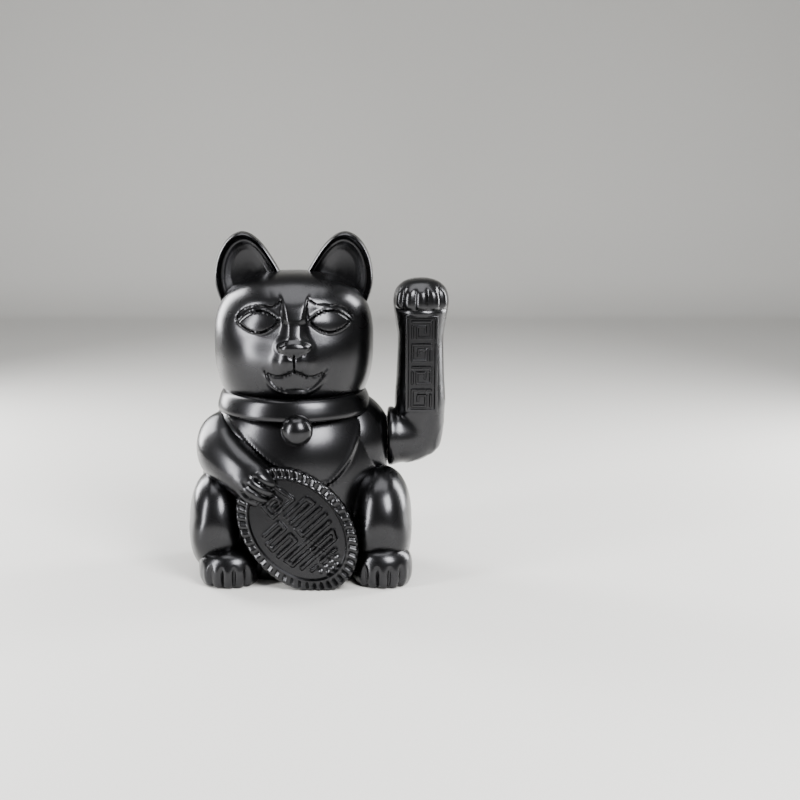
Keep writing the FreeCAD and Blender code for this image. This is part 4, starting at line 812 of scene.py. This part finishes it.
# the stage and its lights are in metres and watts, the camera in millimetres and degrees
stageForm = {"floor": 6.0, "backY": 1.6, "backHigh": 3.0, "sweep": 1.4, "cuts": 60, "world": 0.19,
             "colours": ("#c9c8c5", "#cfceca"), "roughness": 0.6, "fibre": 400.0, "aim": (0.0, 0.0, 0.14)}
lightForms = {
    "keySoftbox": {"at": (0.55, -0.85, 0.95), "size": (0.5, 0.7), "power": 38},
    "leftStrip": {"at": (-0.95, -0.55, 0.45), "size": (0.22, 0.9), "power": 22},
    "rimLeft": {"at": (-0.7, 0.55, 0.5), "size": (0.3, 0.8), "power": 18},
    "rimRight": {"at": (0.85, 0.4, 0.45), "size": (0.25, 0.8), "power": 18},
    "overhead": {"at": (0.0, 0.0, 1.25), "size": (0.9, 0.7), "power": 9},
}
cameraForm = {"x": 42, "y": -1350, "z": 417, "pitch": 11.2, "lens": 70, "shiftX": 0.0725, "shiftY": 0.0}

print("lighting")
selectOnly()
bpy.ops.mesh.primitive_plane_add(size=stageForm["floor"])
floor = bpy.context.object
floor.name = "floor"
selectOnly(floor)
bpy.ops.object.mode_set(mode="EDIT")
bpy.ops.mesh.select_all(action="SELECT")
bpy.ops.mesh.subdivide(number_cuts=stageForm["cuts"])
bpy.ops.object.mode_set(mode="OBJECT")
sweep = readPoints(floor)
past = np.clip(sweep[:, 1] - stageForm["backY"], 0, None)
sweep[:, 2] = stageForm["backHigh"] * smoothStep(0, stageForm["sweep"], past)
writePoints(floor, sweep)
bpy.ops.object.shade_smooth()
# a matt background paper, hung in a curve
paper = bpy.data.materials.new("paperSweep")
paper.use_nodes = True
tree = paper.node_tree
tree.nodes.clear()
where = addNode(tree, "TexCoord", {}).outputs["Object"]
fibre = addNode(tree, "TexNoise", {"Scale": stageForm["fibre"], "Detail": 4.0}, [("Vector", where)])
tone = addNode(tree, "ValToRGB", {}, [("Fac", fibre.outputs["Fac"])])
for stop, code in zip(tone.color_ramp.elements, stageForm["colours"]):
    stop.color = toLinear(code)
shade = addNode(tree, "BsdfPrincipled", {"Roughness": stageForm["roughness"]}, [("Base Color", tone.outputs["Color"])])
addNode(tree, "OutputMaterial", {}, [("Surface", shade.outputs["BSDF"])])
floor.data.materials.append(paper)

world = bpy.data.worlds.new("studio")
bpy.context.scene.world = world
world.use_nodes = True
world.node_tree.nodes["Background"].inputs["Color"].default_value = (1, 1, 1, 1)
world.node_tree.nodes["Background"].inputs["Strength"].default_value = stageForm["world"]
middle = Vector(stageForm["aim"])
for name, f in lightForms.items():
    selectOnly()
    bpy.ops.object.light_add(type="AREA", location=f["at"])
    lamp = bpy.context.object
    lamp.name = name
    lamp.data.shape, lamp.data.size, lamp.data.size_y = "RECTANGLE", f["size"][0], f["size"][1]
    lamp.data.energy = f["power"]
    lamp.rotation_euler = (middle - lamp.location).to_track_quat("-Z", "Y").to_euler()
f = cameraForm
at = ((f["x"] + place["shiftX"]) / 1000, (f["y"] + place["shiftY"]) / 1000, f["z"] / 1000)
bpy.ops.object.camera_add(location=at, rotation=(math.radians(90 - f["pitch"]), 0, 0))
camera = bpy.context.object
camera.data.lens, camera.data.shift_x, camera.data.shift_y = f["lens"], f["shiftX"], f["shiftY"]
bpy.context.scene.camera = camera
